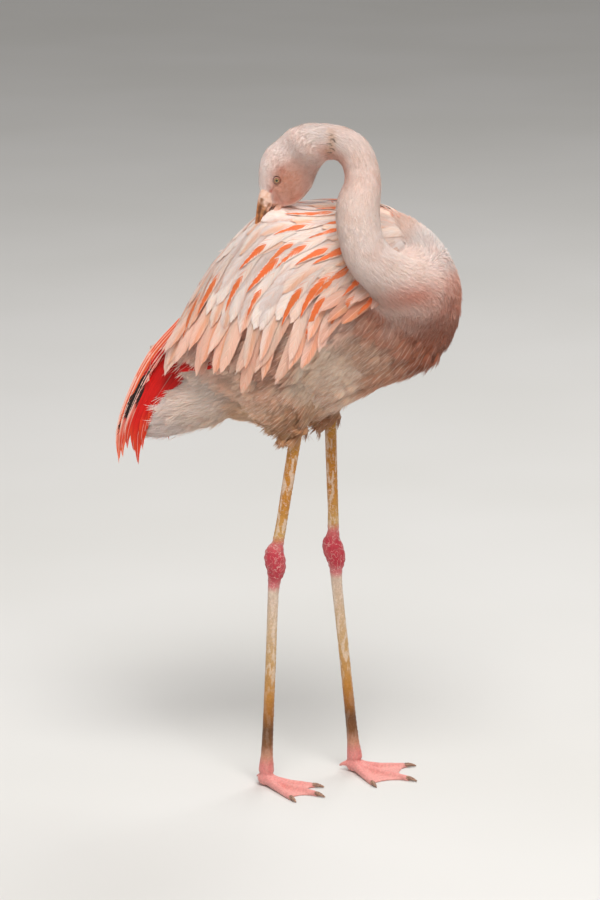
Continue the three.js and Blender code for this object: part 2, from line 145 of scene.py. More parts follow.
def rgb(red, green, blue):
    """An sRGB colour of 0 to 255 in the linear values that shaders take."""
    srgb = np.array([red, green, blue]) / 255
    return np.where(srgb <= 0.04045, srgb / 12.92, ((srgb + 0.055) / 1.055) ** 2.4)


def material(name, rough, more=()):
    """A new material; returns it, its tree, its shader and its Object coordinates."""
    made = bpy.data.materials.new(name)
    made.use_nodes = True
    tree = made.node_tree
    shader = tree.nodes["Principled BSDF"]
    shader.inputs["Roughness"].default_value = rough
    for key, value in dict(more).items():
        shader.inputs[key].default_value = value
    return made, tree, shader, node(tree, "ShaderNodeTexCoord").outputs["Object"]


FLOOR_HALF = 30.0
FLOOR_DROP = 0.0002      # the floor lies this far under the feet
floor_mesh = bpy.data.meshes.new("floor")
floor_mesh.from_pydata(
    [(x * FLOOR_HALF, y * FLOOR_HALF, -FLOOR_DROP) for x, y in ((-1, -1), (1, -1), (1, 1), (-1, 1))],
    [],
    [(0, 1, 2, 3)],
)
floor = new_object("floor", floor_mesh)
floor_finish, tree, shader, place = material("pale_floor", rough=0.9)
tree.links.new(
    mixed(tree, ramp(tree, noise(tree, place, 1.5), 0.3, 0.7), rgb(214, 213, 210), rgb(218, 217, 215)),
    shader.inputs["Base Color"],
)
floor_mesh.materials.append(floor_finish)

# ---------------------------------------------------------------------------------------------
# Skin
# One skin covers the whole bird, from the face to the webs. Under the plumage it lies inside the
# feathered outline by the depth of the coat; on the legs and feet it is bare and is the outline.
# ---------------------------------------------------------------------------------------------
SIDES = {"right": -1, "left": 1}     # the sign of Y
LIMB = ("shin", "hock", "shank", "foot")
leg_nodes = [f"{part}_{side}" for part in LIMB for side in SIDES]
wing_nodes = [f"wing_{side}" for side in SIDES]
thigh_nodes = [f"thigh_{side}" for side in SIDES]

# The head's own frame: x runs forward to the bill, y to the bird's right and z up to the crown.
EYE_FORWARD = 0.0175
EYE_UP = 0.0016
HEAD_DOWN = math.radians(47)         # the bill points this far below level
HEAD_TURN = math.radians(7)          # and this far in over the back
eye_at = {side: np.array(sum(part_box(f"eye_{side}"), Vector()) / 2) for side in SIDES}
eye_low, eye_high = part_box("eye_right")
EYE_RADIUS = (eye_high - eye_low).z / 2
EYE_SUNK = 0.0022                    # the eyeballs sit this much deeper than their sockets' rims
eye_out = np.linalg.norm(eye_at["right"] - eye_at["left"]) / 2 - EYE_SUNK
head_turned = Matrix.Rotation(math.pi + HEAD_TURN, 4, "Z") @ Matrix.Rotation(HEAD_DOWN, 4, "Y")
eye_middle = Vector((eye_at["right"] + eye_at["left"]) / 2)
head_place = eye_middle - (head_turned @ Vector((EYE_FORWARD, 0, EYE_UP)))
head_frame = np.array(Matrix.Translation(head_place) @ head_turned)
to_head = np.linalg.inv(head_frame)

# The middle of the neck from the breast to the nape, and its radius.
NECK = [
    (0.118, 0.006, 0.594, 0.043), (0.150, -0.020, 0.607, 0.044), (0.150, -0.052, 0.618, 0.0395),
    (0.128, -0.077, 0.635, 0.033), (0.105, -0.088, 0.658, 0.0295), (0.094, -0.088, 0.685, 0.028),
    (0.090, -0.082, 0.714, 0.0276), (0.094, -0.074, 0.743, 0.0236), (0.084, -0.065, 0.770, 0.0222),
    (0.060, -0.057, 0.784, 0.0216), (0.036, -0.050, 0.780, 0.0242), (0.015, -0.045, 0.772, 0.025),
]


def curve(knots, steps):
    """Points on a smooth curve through the knots, and the knot number that each lies at."""
    knots = np.asarray(knots, float)
    ends = np.vstack([2 * knots[0] - knots[1], knots, 2 * knots[-1] - knots[-2]])
    at = np.linspace(0, len(knots) - 1, steps)
    i = np.minimum(at.astype(int), len(knots) - 2)
    t = (at - i)[:, None]
    a, b, c, d = ends[i], ends[i + 1], ends[i + 2], ends[i + 3]
    bend = (2 * a - 5 * b + 4 * c - d) * t**2 + (3 * b - a - 3 * c + d) * t**3
    return 0.5 * (2 * b + (c - a) * t + bend), at


neck_line, neck_knot = curve(NECK, 320)
neck_radius = neck_line[:, 3]
neck_line = neck_line[:, :3] + home


def unit(vectors):
    """Vectors brought to a length of one."""
    return vectors / np.linalg.norm(vectors, axis=-1, keepdims=True)


def bell(away, reach):
    """1 where away is zero, fading out over the reach."""
    return np.exp(-((away / reach) ** 2))


def in_head(points):
    """Places in the head's own frame."""
    return points @ to_head[:3, :3].T + to_head[:3, 3]


def from_head(points):
    """Places of the head's own frame, back in the scene."""
    return points @ head_frame[:3, :3].T + head_frame[:3, 3]


def step(x, low, high):
    """0 before low and 1 after high, smooth between; low may be the larger."""
    t = np.clip((x - low) / (high - low), 0, 1)
    return t * t * (3 - 2 * t)


def on_neck(points):
    """The nearest place along the neck for each point, and how many radii from its middle it lies."""
    nearest = np.full(len(points), 1e9)
    index = np.zeros(len(points), int)
    for i, (middle, radius) in enumerate(zip(neck_line, neck_radius)):
        away = np.linalg.norm(points - middle, axis=1) - radius
        closer = away < nearest
        nearest[closer] = away[closer]
        index[closer] = i
    return index, 1 + nearest / neck_radius[index]


neck_way = unit(-np.gradient(neck_line, axis=0))      # down the neck, from the head to the body


def head_share(points):
    """1 on the head and 0 on the neck and body, smooth between."""
    head = in_head(points)
    return step(head[:, 0], -0.050, -0.028) * step(np.linalg.norm(head, axis=1), 0.078, 0.066)


def neck_share(points):
    """1 on the neck's surface and 0 well off it."""
    index, out = on_neck(points)
    return step(out, 1.35, 1.05) * (1 - head_share(points)), index


def coat_depth(points):
    """How deep the skin lies under the tips of the plumage."""
    neck, index = neck_share(points)
    neck_depth = np.interp(neck_knot[index], [0, 2, 4, 8, 11], [0.007, 0.0055, 0.0038, 0.0024, 0.0018])
    x, y, z = (points - home).T
    winged = step(np.abs(y), 0.045, 0.065) * step(z, 0.545, 0.575) * step(x, 0.150, 0.120)
    depth = (0.0075 - 0.0030 * winged) * (1 - neck) + neck_depth * neck
    head = head_share(points)
    face_depth = np.interp(in_head(points)[:, 0], [-0.03, 0.0, 0.025, 0.05], [0.0018, 0.0014, 0.0008, 0.0003])
    return depth * (1 - head) + face_depth * head


def get(mesh, key, kind="vertices", width=3):
    """A number or vector of every vertex, edge or loop of a mesh, as an array."""
    items = getattr(mesh, kind)
    flat = np.empty(len(items) * width, np.int32 if key in ("vertices", "vertex_index") else np.float32)
    items.foreach_get(key, flat)
    return flat.reshape(-1, width) if width > 1 else flat


def store(mesh, name, values, kind="FLOAT"):
    """Keeps a value for every vertex of a mesh as a named attribute."""
    attribute = mesh.attributes.new(name, kind, "POINT")
    key = {"FLOAT": "value", "FLOAT_VECTOR": "vector", "FLOAT_COLOR": "color"}[kind]
    attribute.data.foreach_set(key, np.ascontiguousarray(values, np.float32).ravel())


def store_tint(mesh, tints):
    """Keeps every vertex's colour as `tint`, which the materials take up."""
    store(mesh, "tint", np.insert(tints.reshape(-1, 3), 3, 1, axis=1), "FLOAT_COLOR")


def put(mesh, points):
    """Moves every vertex of a mesh to its new place."""
    mesh.vertices.foreach_set("co", points.astype(np.float32).ravel())


def baked(obj, name):
    """The object's mesh as its modifiers leave it; the object goes."""
    bpy.context.view_layer.update()
    graph = bpy.context.evaluated_depsgraph_get()
    mesh = bpy.data.meshes.new_from_object(obj.evaluated_get(graph))
    mesh.name = name
    bpy.data.objects.remove(obj)
    return mesh


CLOSING = 0.0003      # neighbouring solids are this far apart at most; the skin closes over it


def flesh(nodes, name, voxel, rounds):
    """One fine, even surface over the named solids, smoothed."""
    gathered = bmesh.new()
    for part in nodes:
        gathered.from_mesh(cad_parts[part].data)
    bmesh.ops.remove_doubles(gathered, verts=gathered.verts, dist=2e-5)
    gathered.normal_update()
    for vert in gathered.verts:
        vert.co += vert.normal * CLOSING
    mesh = bpy.data.meshes.new(name)
    gathered.to_mesh(mesh)
    gathered.free()
    obj = new_object(name, mesh)
    even = obj.modifiers.new("even", "REMESH")
    even.mode = "VOXEL"
    even.voxel_size = voxel
    smooth = obj.modifiers.new("smooth", "SMOOTH")
    smooth.factor = 0.5
    smooth.iterations = rounds
    return baked(obj, name)


def fine_round_eyes(mesh, reach, rounds):
    """Cuts the faces near the eyes smaller, so that the lids have enough points."""
    fine = bmesh.new()
    fine.from_mesh(mesh)
    spots = [Vector(at) for at in eye_at.values()]
    for _ in range(rounds):
        near = [e for e in fine.edges if min((e.verts[0].co - s).length for s in spots) < reach]
        bmesh.ops.subdivide_edges(fine, edges=near, cuts=1, use_grid_fill=True)
    bmesh.ops.triangulate(fine, faces=[f for f in fine.faces if len(f.verts) > 4])
    fine.to_mesh(mesh)
    fine.free()


def along_line(s, u, line):
    """For points (s, u): the distance to a bent line and how far along it the nearest place is."""
    best = np.full(len(s), 1e9)
    share = np.zeros(len(s))
    for k, ((s0, u0), (s1, u1)) in enumerate(zip(line, line[1:])):
        length = math.hypot(s1 - s0, u1 - u0)
        t = np.clip(((s - s0) * (s1 - s0) + (u - u0) * (u1 - u0)) / length**2, 0, 1)
        away = np.hypot(s - s0 - t * (s1 - s0), u - u0 - t * (u1 - u0))
        closer = away < best
        best[closer] = away[closer]
        share[closer] = (k + t[closer]) / (len(line) - 1)
    return best, share


LID_OPENING = 0.0024
LID_RIM = 0.0034
LID_ROLL = 0.0030        # the raised edge of the lids lies at this distance from the eye's middle,
LID_CREASE = 0.0044      # and the crease round them at this
LID_LIFT = 0.0003        # how far the lids stand off the eyeball
HEAD_SIDE = 0.008        # the head's sides lie further out than this
HORN_INSET = 0.0042      # how far the skin draws in where it meets the horn
# Folds of the face in the head's frame, forward and up: each is a groove, or a raised roll of skin.
FACE_FOLDS = [     # line, depth (raised if negative), half-width
    ([(0.0245, -0.0010), (0.0276, -0.0016), (0.0310, -0.0026), (0.0350, -0.0034)], 0.0010, 0.0011),
    ([(0.0482, 0.0062), (0.0450, 0.0042), (0.0400, 0.0004), (0.0355, -0.0032)], 0.0011, 0.0010),
    ([(0.0290, -0.0050), (0.0306, -0.0096), (0.0332, -0.0163), (0.0345, -0.0215), (0.0352, -0.0280)],
     0.0011, 0.0011),
    ([(0.0262, -0.0085), (0.0285, -0.0150), (0.0308, -0.0220)], -0.0008, 0.0024),
    ([(0.0330, -0.0095), (0.0362, -0.0130), (0.0385, -0.0172)], 0.0007, 0.0009),
    ([(0.0205, -0.0040), (0.0232, -0.0030), (0.0246, 0.0002)], 0.0006, 0.0007),
    ([(0.0105, 0.0000), (0.0082, 0.0035), (0.0042, 0.0090)], 0.0006, 0.0014),
    ([(0.0300, 0.0075), (0.0340, 0.0040), (0.0378, 0.0008)], 0.0006, 0.0007),
    ([(0.0345, 0.0095), (0.0385, 0.0066), (0.0420, 0.0036)], 0.0006, 0.0007),
]
# The edge of the feathered face, forward by height: ahead of it the skin draws in to the horn.
FACE_EDGE = [
    (-0.0400, 0.0330), (-0.0260, 0.0358), (-0.0170, 0.0372), (-0.0150, 0.0400), (-0.0090, 0.0432),
    (-0.0018, 0.0445), (0.0046, 0.0478), (0.0080, 0.0500), (0.0300, 0.0600),
]
face_heights, face_edge = np.array(FACE_EDGE).T


def past_edge(head):
    """How far each place of the head's frame lies ahead of the feathered face."""
    return head[:, 0] - np.interp(head[:, 2], face_heights, face_edge)


def shape_face(mesh):
    """Lids round the eyes, and the folds from the eye to the gape and round the base of the bill."""
    points = get(mesh, "co")
    head = in_head(points)
    s, y, u = head.T
    side = np.sign(y)
    out = np.abs(y)
    at_side = step(out, 0.004, 0.010) * head_share(points)
    for line, depth, half in FACE_FOLDS:
        away, share = along_line(s, u, line)
        fade = np.sqrt(np.clip(np.sin(np.pi * np.clip(share, 0.04, 0.96)), 0, 1))
        out = out - depth * bell(away, half) * fade * at_side
    out = out - HORN_INSET * step(past_edge(head), -0.0010, 0.0060) * step(out, 0.003, 0.012)
    ring = np.hypot(s - EYE_FORWARD, u - EYE_UP)
    ball = eye_out + np.sqrt(np.maximum(EYE_RADIUS**2 - ring**2, 0))
    rim = LID_LIFT * bell(ring - LID_ROLL, 0.0005)
    over_ball = ball + LID_LIFT + rim
    lid = step(ring, 0.0085, LID_RIM) * (out > HEAD_SIDE)
    out = out + lid * np.maximum(over_ball - out, rim)
    crease = bell(ring - LID_CREASE, 0.0005) * (0.6 + 0.4 * np.sin(5 * np.arctan2(u - EYE_UP, s)))
    out = out - 0.0005 * crease * at_side
    inside = (ring < LID_OPENING) & (out > HEAD_SIDE)
    out[inside] = eye_out - 0.001
    put(mesh, from_head(np.stack([s, side * out, u], axis=1)))


def soothed(points, edges, weight, rounds):
    """Points drawn towards their neighbours' middle, as far as each one's weight lets them."""
    count = len(points)
    ends = np.concatenate([edges, edges[:, ::-1]])
    near = np.bincount(ends[:, 0], minlength=count)
    for _ in range(rounds):
        total = np.stack([np.bincount(ends[:, 0], points[ends[:, 1], k], count) for k in range(3)], axis=1)
        points = points + 0.6 * weight[:, None] * (total / near[:, None] - points)
    return points


def round_neck(points):
    """Draws the neck's surface out to an even round tube."""
    index, out = on_neck(points)
    knot = neck_knot[index]
    share = step(out, 1.35, 1.12) * step(knot, 2.2, 3.4) * step(knot, 10.6, 9.4)
    even = neck_line[index] + unit(points - neck_line[index]) * neck_radius[index][:, None]
    return points + (even - points) * share[:, None]


NAPE_FILL = 0.0060     # the nape's feathers stand over the hollow between the head and the neck
plumed = ["trunk", "vent", "neck_base", "neck_middle", "neck_top", "head", *wing_nodes, *thigh_nodes]
plumed_skin = flesh(plumed, "skin_plumed", 0.0022, 14)
here = round_neck(get(plumed_skin, "co"))
edges = get(plumed_skin, "vertices", "edges", 2)
index, out = on_neck(here)
at_breast = step(out, 1.6, 1.3) * step(neck_knot[index], 3.6, 2.0)
at_nape = step(in_head(here)[:, 0], 0.002, -0.016) * step(neck_knot[index], 8.0, 9.5)
at_front = step((here - home)[:, 0], 0.085, 0.115) * step(here[:, 2], 0.57, 0.61)
here = soothed(here, edges, np.max([at_breast, at_nape, at_front, np.full(len(here), 0.15)], axis=0), 70)
put(plumed_skin, here)
plumed_skin.update()
nape = in_head(here)
nape_fill = NAPE_FILL * bell(nape[:, 0] + 0.040, 0.021) * step(nape[:, 2], -0.034, 0.004)
here = here + get(plumed_skin, "normal") * (nape_fill - coat_depth(here))[:, None]
put(plumed_skin, here)
for reach, rounds in ((0.042, 1), (0.012, 2)):
    fine_round_eyes(plumed_skin, reach, rounds)
shape_face(plumed_skin)
leg_skin = flesh(leg_nodes, "skin_bare", 0.0014, 5)
# Plumage colours by place, seen from the side: x and z from home, and the colour there. Skin and coat both
# take their colour from these. Low on the breast and on the belly the colours are darker and browner: partly
# the plumage's own orange-brown, partly painted shade under the body.
BODY_COLOURS = [
    (0.192, 0.610, (240, 174, 150)), (0.165, 0.575, (172, 88, 54)), (0.120, 0.590, (194, 124, 96)),
    (0.170, 0.530, (152, 78, 46)), (0.120, 0.500, (186, 120, 86)), (0.165, 0.660, (230, 220, 217)),
    (0.130, 0.700, (226, 192, 177)), (0.083, 0.702, (236, 200, 182)), (0.000, 0.715, (252, 224, 214)),
    (-0.080, 0.660, (252, 222, 210)), (-0.140, 0.570, (248, 206, 190)), (0.000, 0.640, (252, 226, 216)),
    (0.060, 0.600, (248, 200, 182)), (-0.080, 0.550, (244, 186, 164)), (0.000, 0.530, (214, 154, 128)),
    (0.070, 0.530, (255, 220, 194)), (0.030, 0.470, (182, 130, 92)), (-0.050, 0.450, (220, 174, 136)),
    (0.010, 0.425, (184, 132, 88)), (-0.100, 0.480, (255, 234, 220)), (-0.170, 0.450, (255, 238, 231)),
    (-0.190, 0.410, (252, 222, 213)), (-0.050, 0.498, (255, 216, 190)),
    (0.030, 0.515, (255, 222, 196)), (0.045, 0.492, (236, 194, 168)), (0.100, 0.545, (210, 158, 130)),
]
NECK_COLOURS = [     # down the neck's knots
    (236, 184, 164), (242, 202, 186), (250, 222, 210), (252, 230, 220), (252, 232, 224), (248, 228, 219),
    (247, 227, 218), (243, 221, 212), (235, 216, 208), (231, 215, 209), (229, 216, 211), (234, 221, 216),
]
LOOP_MIDDLE = home + np.array([0.045, -0.075, 0.735])      # the gap inside the neck's bend
PARTING_SHADES = [     # places behind the nape where the feathers part, with painted shade showing dark in the partings: place and size
    (0.0535, -0.079, 0.7945, 0.0015), (0.0565, -0.079, 0.7895, 0.0020), (0.0540, -0.080, 0.7840, 0.0018),
    (0.0560, -0.080, 0.7795, 0.0017), (0.0520, -0.080, 0.7745, 0.0015),
]


def colours(table):
    """A table of sRGB colours as linear ones."""
    return np.array([rgb(*c) for c in table])


def along_table(at, places, table):
    """The colour at each place of a table of linear colours."""
    return np.stack([np.interp(at, places, table[:, c]) for c in range(3)], axis=1)


def nearness(x, z, at_x, at_z, soft, power):
    """How strongly a named place tells at other places, seen from the side."""
    return 1 / ((x - at_x) ** 2 + (z - at_z) ** 2 + soft**2) ** power


def body_colour(points):
    """The body's plumage colour, with painted shade low on the breast and belly: each named place tells most
    near itself.
    """
    x, _, z = (points - home).T
    total = np.zeros((len(points), 3))
    weight = np.zeros((len(points), 1))
    for at_x, at_z, colour in BODY_COLOURS:
        near = nearness(x, z, at_x, at_z, 0.012, 2)
        total += near[:, None] * rgb(*colour)
        weight += near[:, None]
    return total / weight


def blend(first, second, share):
    """First colours drawn towards the second by each one's share."""
    return first + (second - first) * share[:, None]


def neck_colour(points, index):
    """Pinkish white, with painted shade inside the bend that turns it pinker and darker there, and dark
    specks of painted shade behind the nape where the feathers part.
    """
    knots = np.arange(len(NECK))
    base = along_table(neck_knot[index], knots, colours(NECK_COLOURS))
    outward = unit(points - neck_line[index])
    inward = unit(LOOP_MIDDLE - neck_line[index])
    # Faces that turn into the neck's bend, where shade falls, get a pinker, darker colour: painted shade.
    inner = step((outward * inward).sum(1), 0.2, 0.95) * step(neck_knot[index], 5.5, 8)
    base = blend(base, rgb(226, 164, 142), 0.75 * inner)
    # A brownish halo and a dark middle at each parting behind the nape: painted shade.
    for *speck, size in PARTING_SHADES:
        away = np.linalg.norm((points - home - np.array(speck)) * np.array([1.0, 0.15, 1.0]), axis=1)
        base = blend(base, rgb(206, 160, 118), 0.35 * step(away, 0.008, 0.002))
        base = blend(base, rgb(34, 16, 8), step(away, size * 1.15, size * 0.8))
    return base


FACE_SHADES = [     # place on the face (forward, up), reach, colour, strength
    (0.0100, -0.0020, 0.0140, (206, 132, 100), 0.72), (0.0000, -0.0120, 0.0220, (214, 146, 114), 0.72),
    (0.0060, 0.0060, 0.0050, (200, 124, 100), 0.60), (0.0280, -0.0040, 0.0090, (200, 122, 92), 0.70),
    (0.0350, -0.0130, 0.0060, (208, 128, 102), 0.75), (0.0366, -0.0220, 0.0055, (206, 120, 94), 0.80),
    (0.0180, -0.0340, 0.0120, (234, 150, 112), 0.75), (0.0300, -0.0300, 0.0080, (226, 146, 112), 0.70),
    (0.0200, -0.0160, 0.0140, (208, 138, 106), 0.72), (0.0450, 0.0050, 0.0025, (176, 100, 78), 0.60),
    (0.0400, -0.0005, 0.0025, (184, 106, 82), 0.60), (0.0320, -0.0020, 0.0022, (196, 84, 66), 0.75),
]


def head_colour(points):
    """White on the crown, pinker on the cheek, round the eye and along the edge of the bill."""
    head = in_head(points)
    s, y, u = head.T
    base = np.tile(rgb(243, 231, 227), (len(points), 1))
    side = step(np.abs(y), 0.003, 0.012)
    for at_s, at_u, reach, colour, strength in FACE_SHADES:
        away = np.hypot(s - at_s, u - at_u)
        base = blend(base, rgb(*colour), strength * side * bell(away, reach))
    ring = np.hypot(s - EYE_FORWARD, u - EYE_UP)
    base = blend(base, rgb(118, 74, 48), side * 0.90 * step(ring, 0.0041, 0.0031))
    around = np.arctan2(u - EYE_UP, s - EYE_FORWARD)
    dark = bell(ring - 0.0043, 0.0006) * (0.5 - 0.5 * np.sin(around + 0.8))
    base = blend(base, rgb(132, 70, 52), side * 0.80 * dark)
    return blend(base, rgb(224, 168, 144), step(past_edge(head), -0.0010, 0.0020))


# The last two patches, dark and low on the breast, are partly the breast's own orange-brown and partly
# painted shade under it.
BLUSHES = [     # soft patches low on the neck and breast: x and z from home, reach, colour, strength
    (0.152, 0.618, 0.030, 0.015, (230, 132, 104), 0.80), (0.123, 0.608, 0.026, 0.014, (224, 152, 128), 0.70),
    (0.100, 0.610, 0.018, 0.014, (200, 166, 150), 0.55), (0.187, 0.598, 0.022, 0.014, (204, 116, 88), 0.65),
    (0.140, 0.585, 0.030, 0.010, (176, 100, 72), 0.60), (0.172, 0.565, 0.030, 0.016, (156, 82, 52), 0.60),
]


def blushed(points, base):
    """Lays the soft pink and peach patches over a colour; the darkest, low on the breast, are partly painted
    shade under it.
    """
    x, _, z = (points - home).T
    for at_x, at_z, reach_x, reach_z, colour, strength in BLUSHES:
        near = np.exp(-(((x - at_x) / reach_x) ** 2) - ((z - at_z) / reach_z) ** 2)
        base = blend(base, rgb(*colour), strength * near)
    return base


def markings(points):
    """The plumage colour at each point of the skin or coat."""
    neck, index = neck_share(points)
    head = head_share(points)
    near_base = step(neck_knot[index], 0.6, 2.6)
    colour = blend(body_colour(points), neck_colour(points, index), neck * near_base)
    colour = blushed(points, colour)
    return blend(colour, head_colour(points), head)


# Bare leg colours by height, from the thigh to the ankle, then the foot.
LEG_COLOURS = [
    (0.440, (190, 134, 44)), (0.400, (188, 122, 28)), (0.350, (190, 124, 32)), (0.312, (198, 152, 84)),
    (0.302, (200, 96, 96)), (0.290, (186, 46, 62)), (0.262, (182, 40, 56)), (0.250, (204, 110, 112)),
    (0.242, (210, 184, 164)), (0.200, (204, 174, 140)), (0.155, (194, 152, 96)), (0.112, (184, 124, 44)),
    (0.090, (158, 96, 16)), (0.070, (100, 58, 14)), (0.052, (120, 72, 30)), (0.038, (190, 132, 104)),
    (0.026, (214, 126, 120)), (0.010, (224, 142, 136)), (0.000, (228, 156, 148)),
]


def leg_colour(points):
    """Ochre above, crimson at the joint, grey-pink to dark brown below it, pink on the foot."""
    heights, table = zip(*LEG_COLOURS[::-1])
    return along_table(points[:, 2], heights, colours(table))


CREASE_GAP = 0.0085      # from one crease of the joint's skin to the next
SCUTE_GAP = 0.0060       # and from one scute of the shank to the next
JOINT_HEIGHT = 0.276     # the middle of the joint


def shape_legs(mesh):
    """Rings of scutes down the shanks and toes, and creased skin on the joint."""
    points = get(mesh, "co")
    normal = get(mesh, "normal")
    x, y, z = points.T
    on_joint = step(z, 0.246, 0.258) * step(z, 0.312, 0.300)
    wrinkle = np.sin(z * 2 * np.pi / CREASE_GAP + 3.4 * np.sin(x * 260) + 2.6 * np.sin(y * 310))
    scutes = np.abs(np.sin(z * np.pi / SCUTE_GAP + 0.6 * np.sin(y * 500)))
    front = step(normal[:, 0], -0.2, 0.6) * step(z, 0.016, 0.026)
    rise = 0.00032 * wrinkle * on_joint + 0.00030 * (scutes - 0.6) * front * (1 - on_joint)
    put(mesh, points + normal * rise[:, None])


shape_legs(leg_skin)
gathered = bmesh.new()
for mesh, colour_of, bare in ((plumed_skin, markings, 0), (leg_skin, leg_colour, 1)):
    store_tint(mesh, colour_of(get(mesh, "co")))
    store(mesh, "bare", np.full(len(mesh.vertices), bare))
    gathered.from_mesh(mesh)
skin_mesh = bpy.data.meshes.new("skin")
gathered.to_mesh(skin_mesh)
gathered.free()
skin_mesh.shade_smooth()
skin = new_object("skin", skin_mesh)


def mottled(tree, place, tint):
    """The plumage's uneven colour: soft blotches, salmon flecks and fine grey-brown ones."""
    blotch = ramp(tree, noise(tree, place, 55), 0.35, 0.68, 0.0, 0.35)
    warm = mixed(tree, blotch, tint, (1.0, 0.80, 0.70), blend="MULTIPLY")
    fleck = ramp(tree, noise(tree, place, 240), 0.62, 0.74, 0.0, 0.16)
    return mixed(tree, fleck, warm, (0.62, 0.52, 0.46), blend="MULTIPLY")


def maths(tree, operation, *values):
    """One Math node's result."""
    return node(tree, "ShaderNodeMath", enumerate(values), operation=operation).outputs[0]


def kept(tree, name, output="Color"):
    """A value that the mesh keeps for every vertex."""
    return node(tree, "ShaderNodeAttribute", attribute_name=name).outputs[output]


def shaded(tree, colour, shade):
    """A colour made darker or lighter by a number near 1."""
    grey = node(tree, "ShaderNodeCombineColor", {0: shade, 1: shade, 2: shade}).outputs[0]
    return mixed(tree, 1.0, colour, grey, "MULTIPLY")


def vector_maths(tree, operation, first, second):
    """One Vector Math node's result."""
    return node(tree, "ShaderNodeVectorMath", {0: first, 1: second}, operation=operation).outputs[0]


def bump(tree, shader, height, depth, strength=1.0):
    """Drives a shader's normal from a height; depth is in metres."""
    made = node(tree, "ShaderNodeBump", {"Height": height, "Distance": depth, "Strength": strength})
    tree.links.new(made.outputs["Normal"], shader.inputs["Normal"])


skin_finish, tree, shader, place = material("skin", rough=0.62, more={"Sheen Weight": 0.15})
tint = kept(tree, "tint")
bare = kept(tree, "bare", "Fac")
height = node(tree, "ShaderNodeSeparateXYZ", {0: place}).outputs[2]
from_joint = maths(tree, "ABSOLUTE", maths(tree, "SUBTRACT", height, JOINT_HEIGHT))
off_joint = ramp(tree, from_joint, 0.024, 0.036, 0.10, 1.0)
worn = maths(tree, "MULTIPLY", ramp(tree, height, 0.100, 0.150, 0.10, 0.62), off_joint)
tall = vector_maths(tree, "MULTIPLY", place, (1.0, 1.0, 0.30))
patchy = maths(tree, "MULTIPLY", ramp(tree, noise(tree, tall, 210, detail=4), 0.50, 0.60), worn)
leg_look = mixed(tree, patchy, tint, rgb(226, 206, 186))
crease = maths(tree, "ABSOLUTE", maths(tree, "SUBTRACT", noise(tree, place, 150), 0.5))
crease = ramp(tree, crease, 0.006, 0.018, 0.50, 0.0)
flaky = maths(tree, "MULTIPLY", crease, ramp(tree, height, 0.10, 0.25, 0.12, 1.0))
leg_look = mixed(tree, flaky, leg_look, rgb(236, 210, 200))
leg_look = shaded(tree, leg_look, ramp(tree, noise(tree, place, 420, detail=3), 0.3, 0.7, 0.88, 1.06))
tree.links.new(mixed(tree, bare, mottled(tree, place, tint), leg_look), shader.inputs["Base Color"])
bump(tree, shader, noise(tree, place, 900, detail=4), 0.0004, 0.6)
skin_mesh.materials.append(skin_finish)

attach(skin, "root")
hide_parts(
    "trunk", "vent", "neck_base", "neck_middle", "neck_top", "head",
    *wing_nodes, *thigh_nodes, *leg_nodes,
)

# ---------------------------------------------------------------------------------------------
# Wing plumage
# The folded wings are covered by long lanceolate shoulder feathers that lie in rows, flow back and
# down, and end in free drooping tips. Each is a thin cambered vane rooted in the skin of the wing.
# ---------------------------------------------------------------------------------------------
CLOAK_FRONT = 0.152      # the wing as a rounded cloak: its reach along X, and by place its top line,
CLOAK_BACK = -0.172      # its half-width and the height of its middle
CLOAK_TOP = [
    (-0.172, 0.504), (-0.158, 0.532), (-0.145, 0.556), (-0.124, 0.601), (-0.089, 0.650),
    (-0.038, 0.694), (0.010, 0.705), (0.060, 0.711), (0.110, 0.711), (0.152, 0.684),
]
CLOAK_LOW = [
    (-0.172, 0.496), (-0.140, 0.444), (-0.060, 0.429), (0.020, 0.436), (0.100, 0.466), (0.152, 0.544),
]
CLOAK_HALF = [
    (-0.172, 0.046), (-0.120, 0.076), (-0.050, 0.096), (0.020, 0.101), (0.090, 0.098), (0.152, 0.074),
]
CLOAK_MIDDLE = [
    (-0.158, 0.523), (-0.111, 0.543), (-0.036, 0.571), (0.022, 0.586), (0.108, 0.602), (0.198, 0.610),
]
MANTLE_EDGE = [     # how far from the middle line the wing starts
    (-0.172, 0.003), (-0.070, 0.008), (0.000, 0.020), (0.060, 0.034), (0.110, 0.052), (0.150, 0.058),
]
WING_EDGE = [     # the wing's lower line from the side; only the long drooping feathers pass it
    (-0.150, 0.526), (-0.112, 0.538), (-0.050, 0.544), (0.014, 0.556), (0.066, 0.586), (0.122, 0.617),
    (0.152, 0.654),
]
FLOW = [     # where, and which way the feathers there point, backward and up
    (0.060, 0.709, -1.00, -0.15), (0.000, 0.704, -1.00, -0.25), (-0.060, 0.669, -0.75, -0.65),
    (-0.110, 0.604, -0.45, -0.90), (-0.135, 0.544, -0.35, -0.94), (0.060, 0.654, -0.85, -0.50),
    (0.080, 0.614, -0.60, -0.80), (0.000, 0.624, -0.60, -0.80), (0.040, 0.574, -0.20, -1.00),
    (-0.020, 0.554, -0.15, -1.00), (-0.060, 0.564, -0.25, -0.97), (-0.100, 0.544, -0.20, -0.98),
]
OUTWARD = 0.25       # on the wing's top the feathers also lean out over the side
DRAPE = [     # the long lowest feathers: the tip's place from the side and how far up the root lies
    (0.108, 0.596, 0.056), (0.086, 0.575, 0.066), (0.061, 0.555, 0.078), (0.034, 0.527, 0.092),
    (0.006, 0.504, 0.108), (-0.019, 0.512, 0.100), (-0.044, 0.492, 0.118), (-0.070, 0.513, 0.098),
    (-0.098, 0.509, 0.100), (-0.124, 0.505, 0.090), (-0.139, 0.500, 0.076),
]
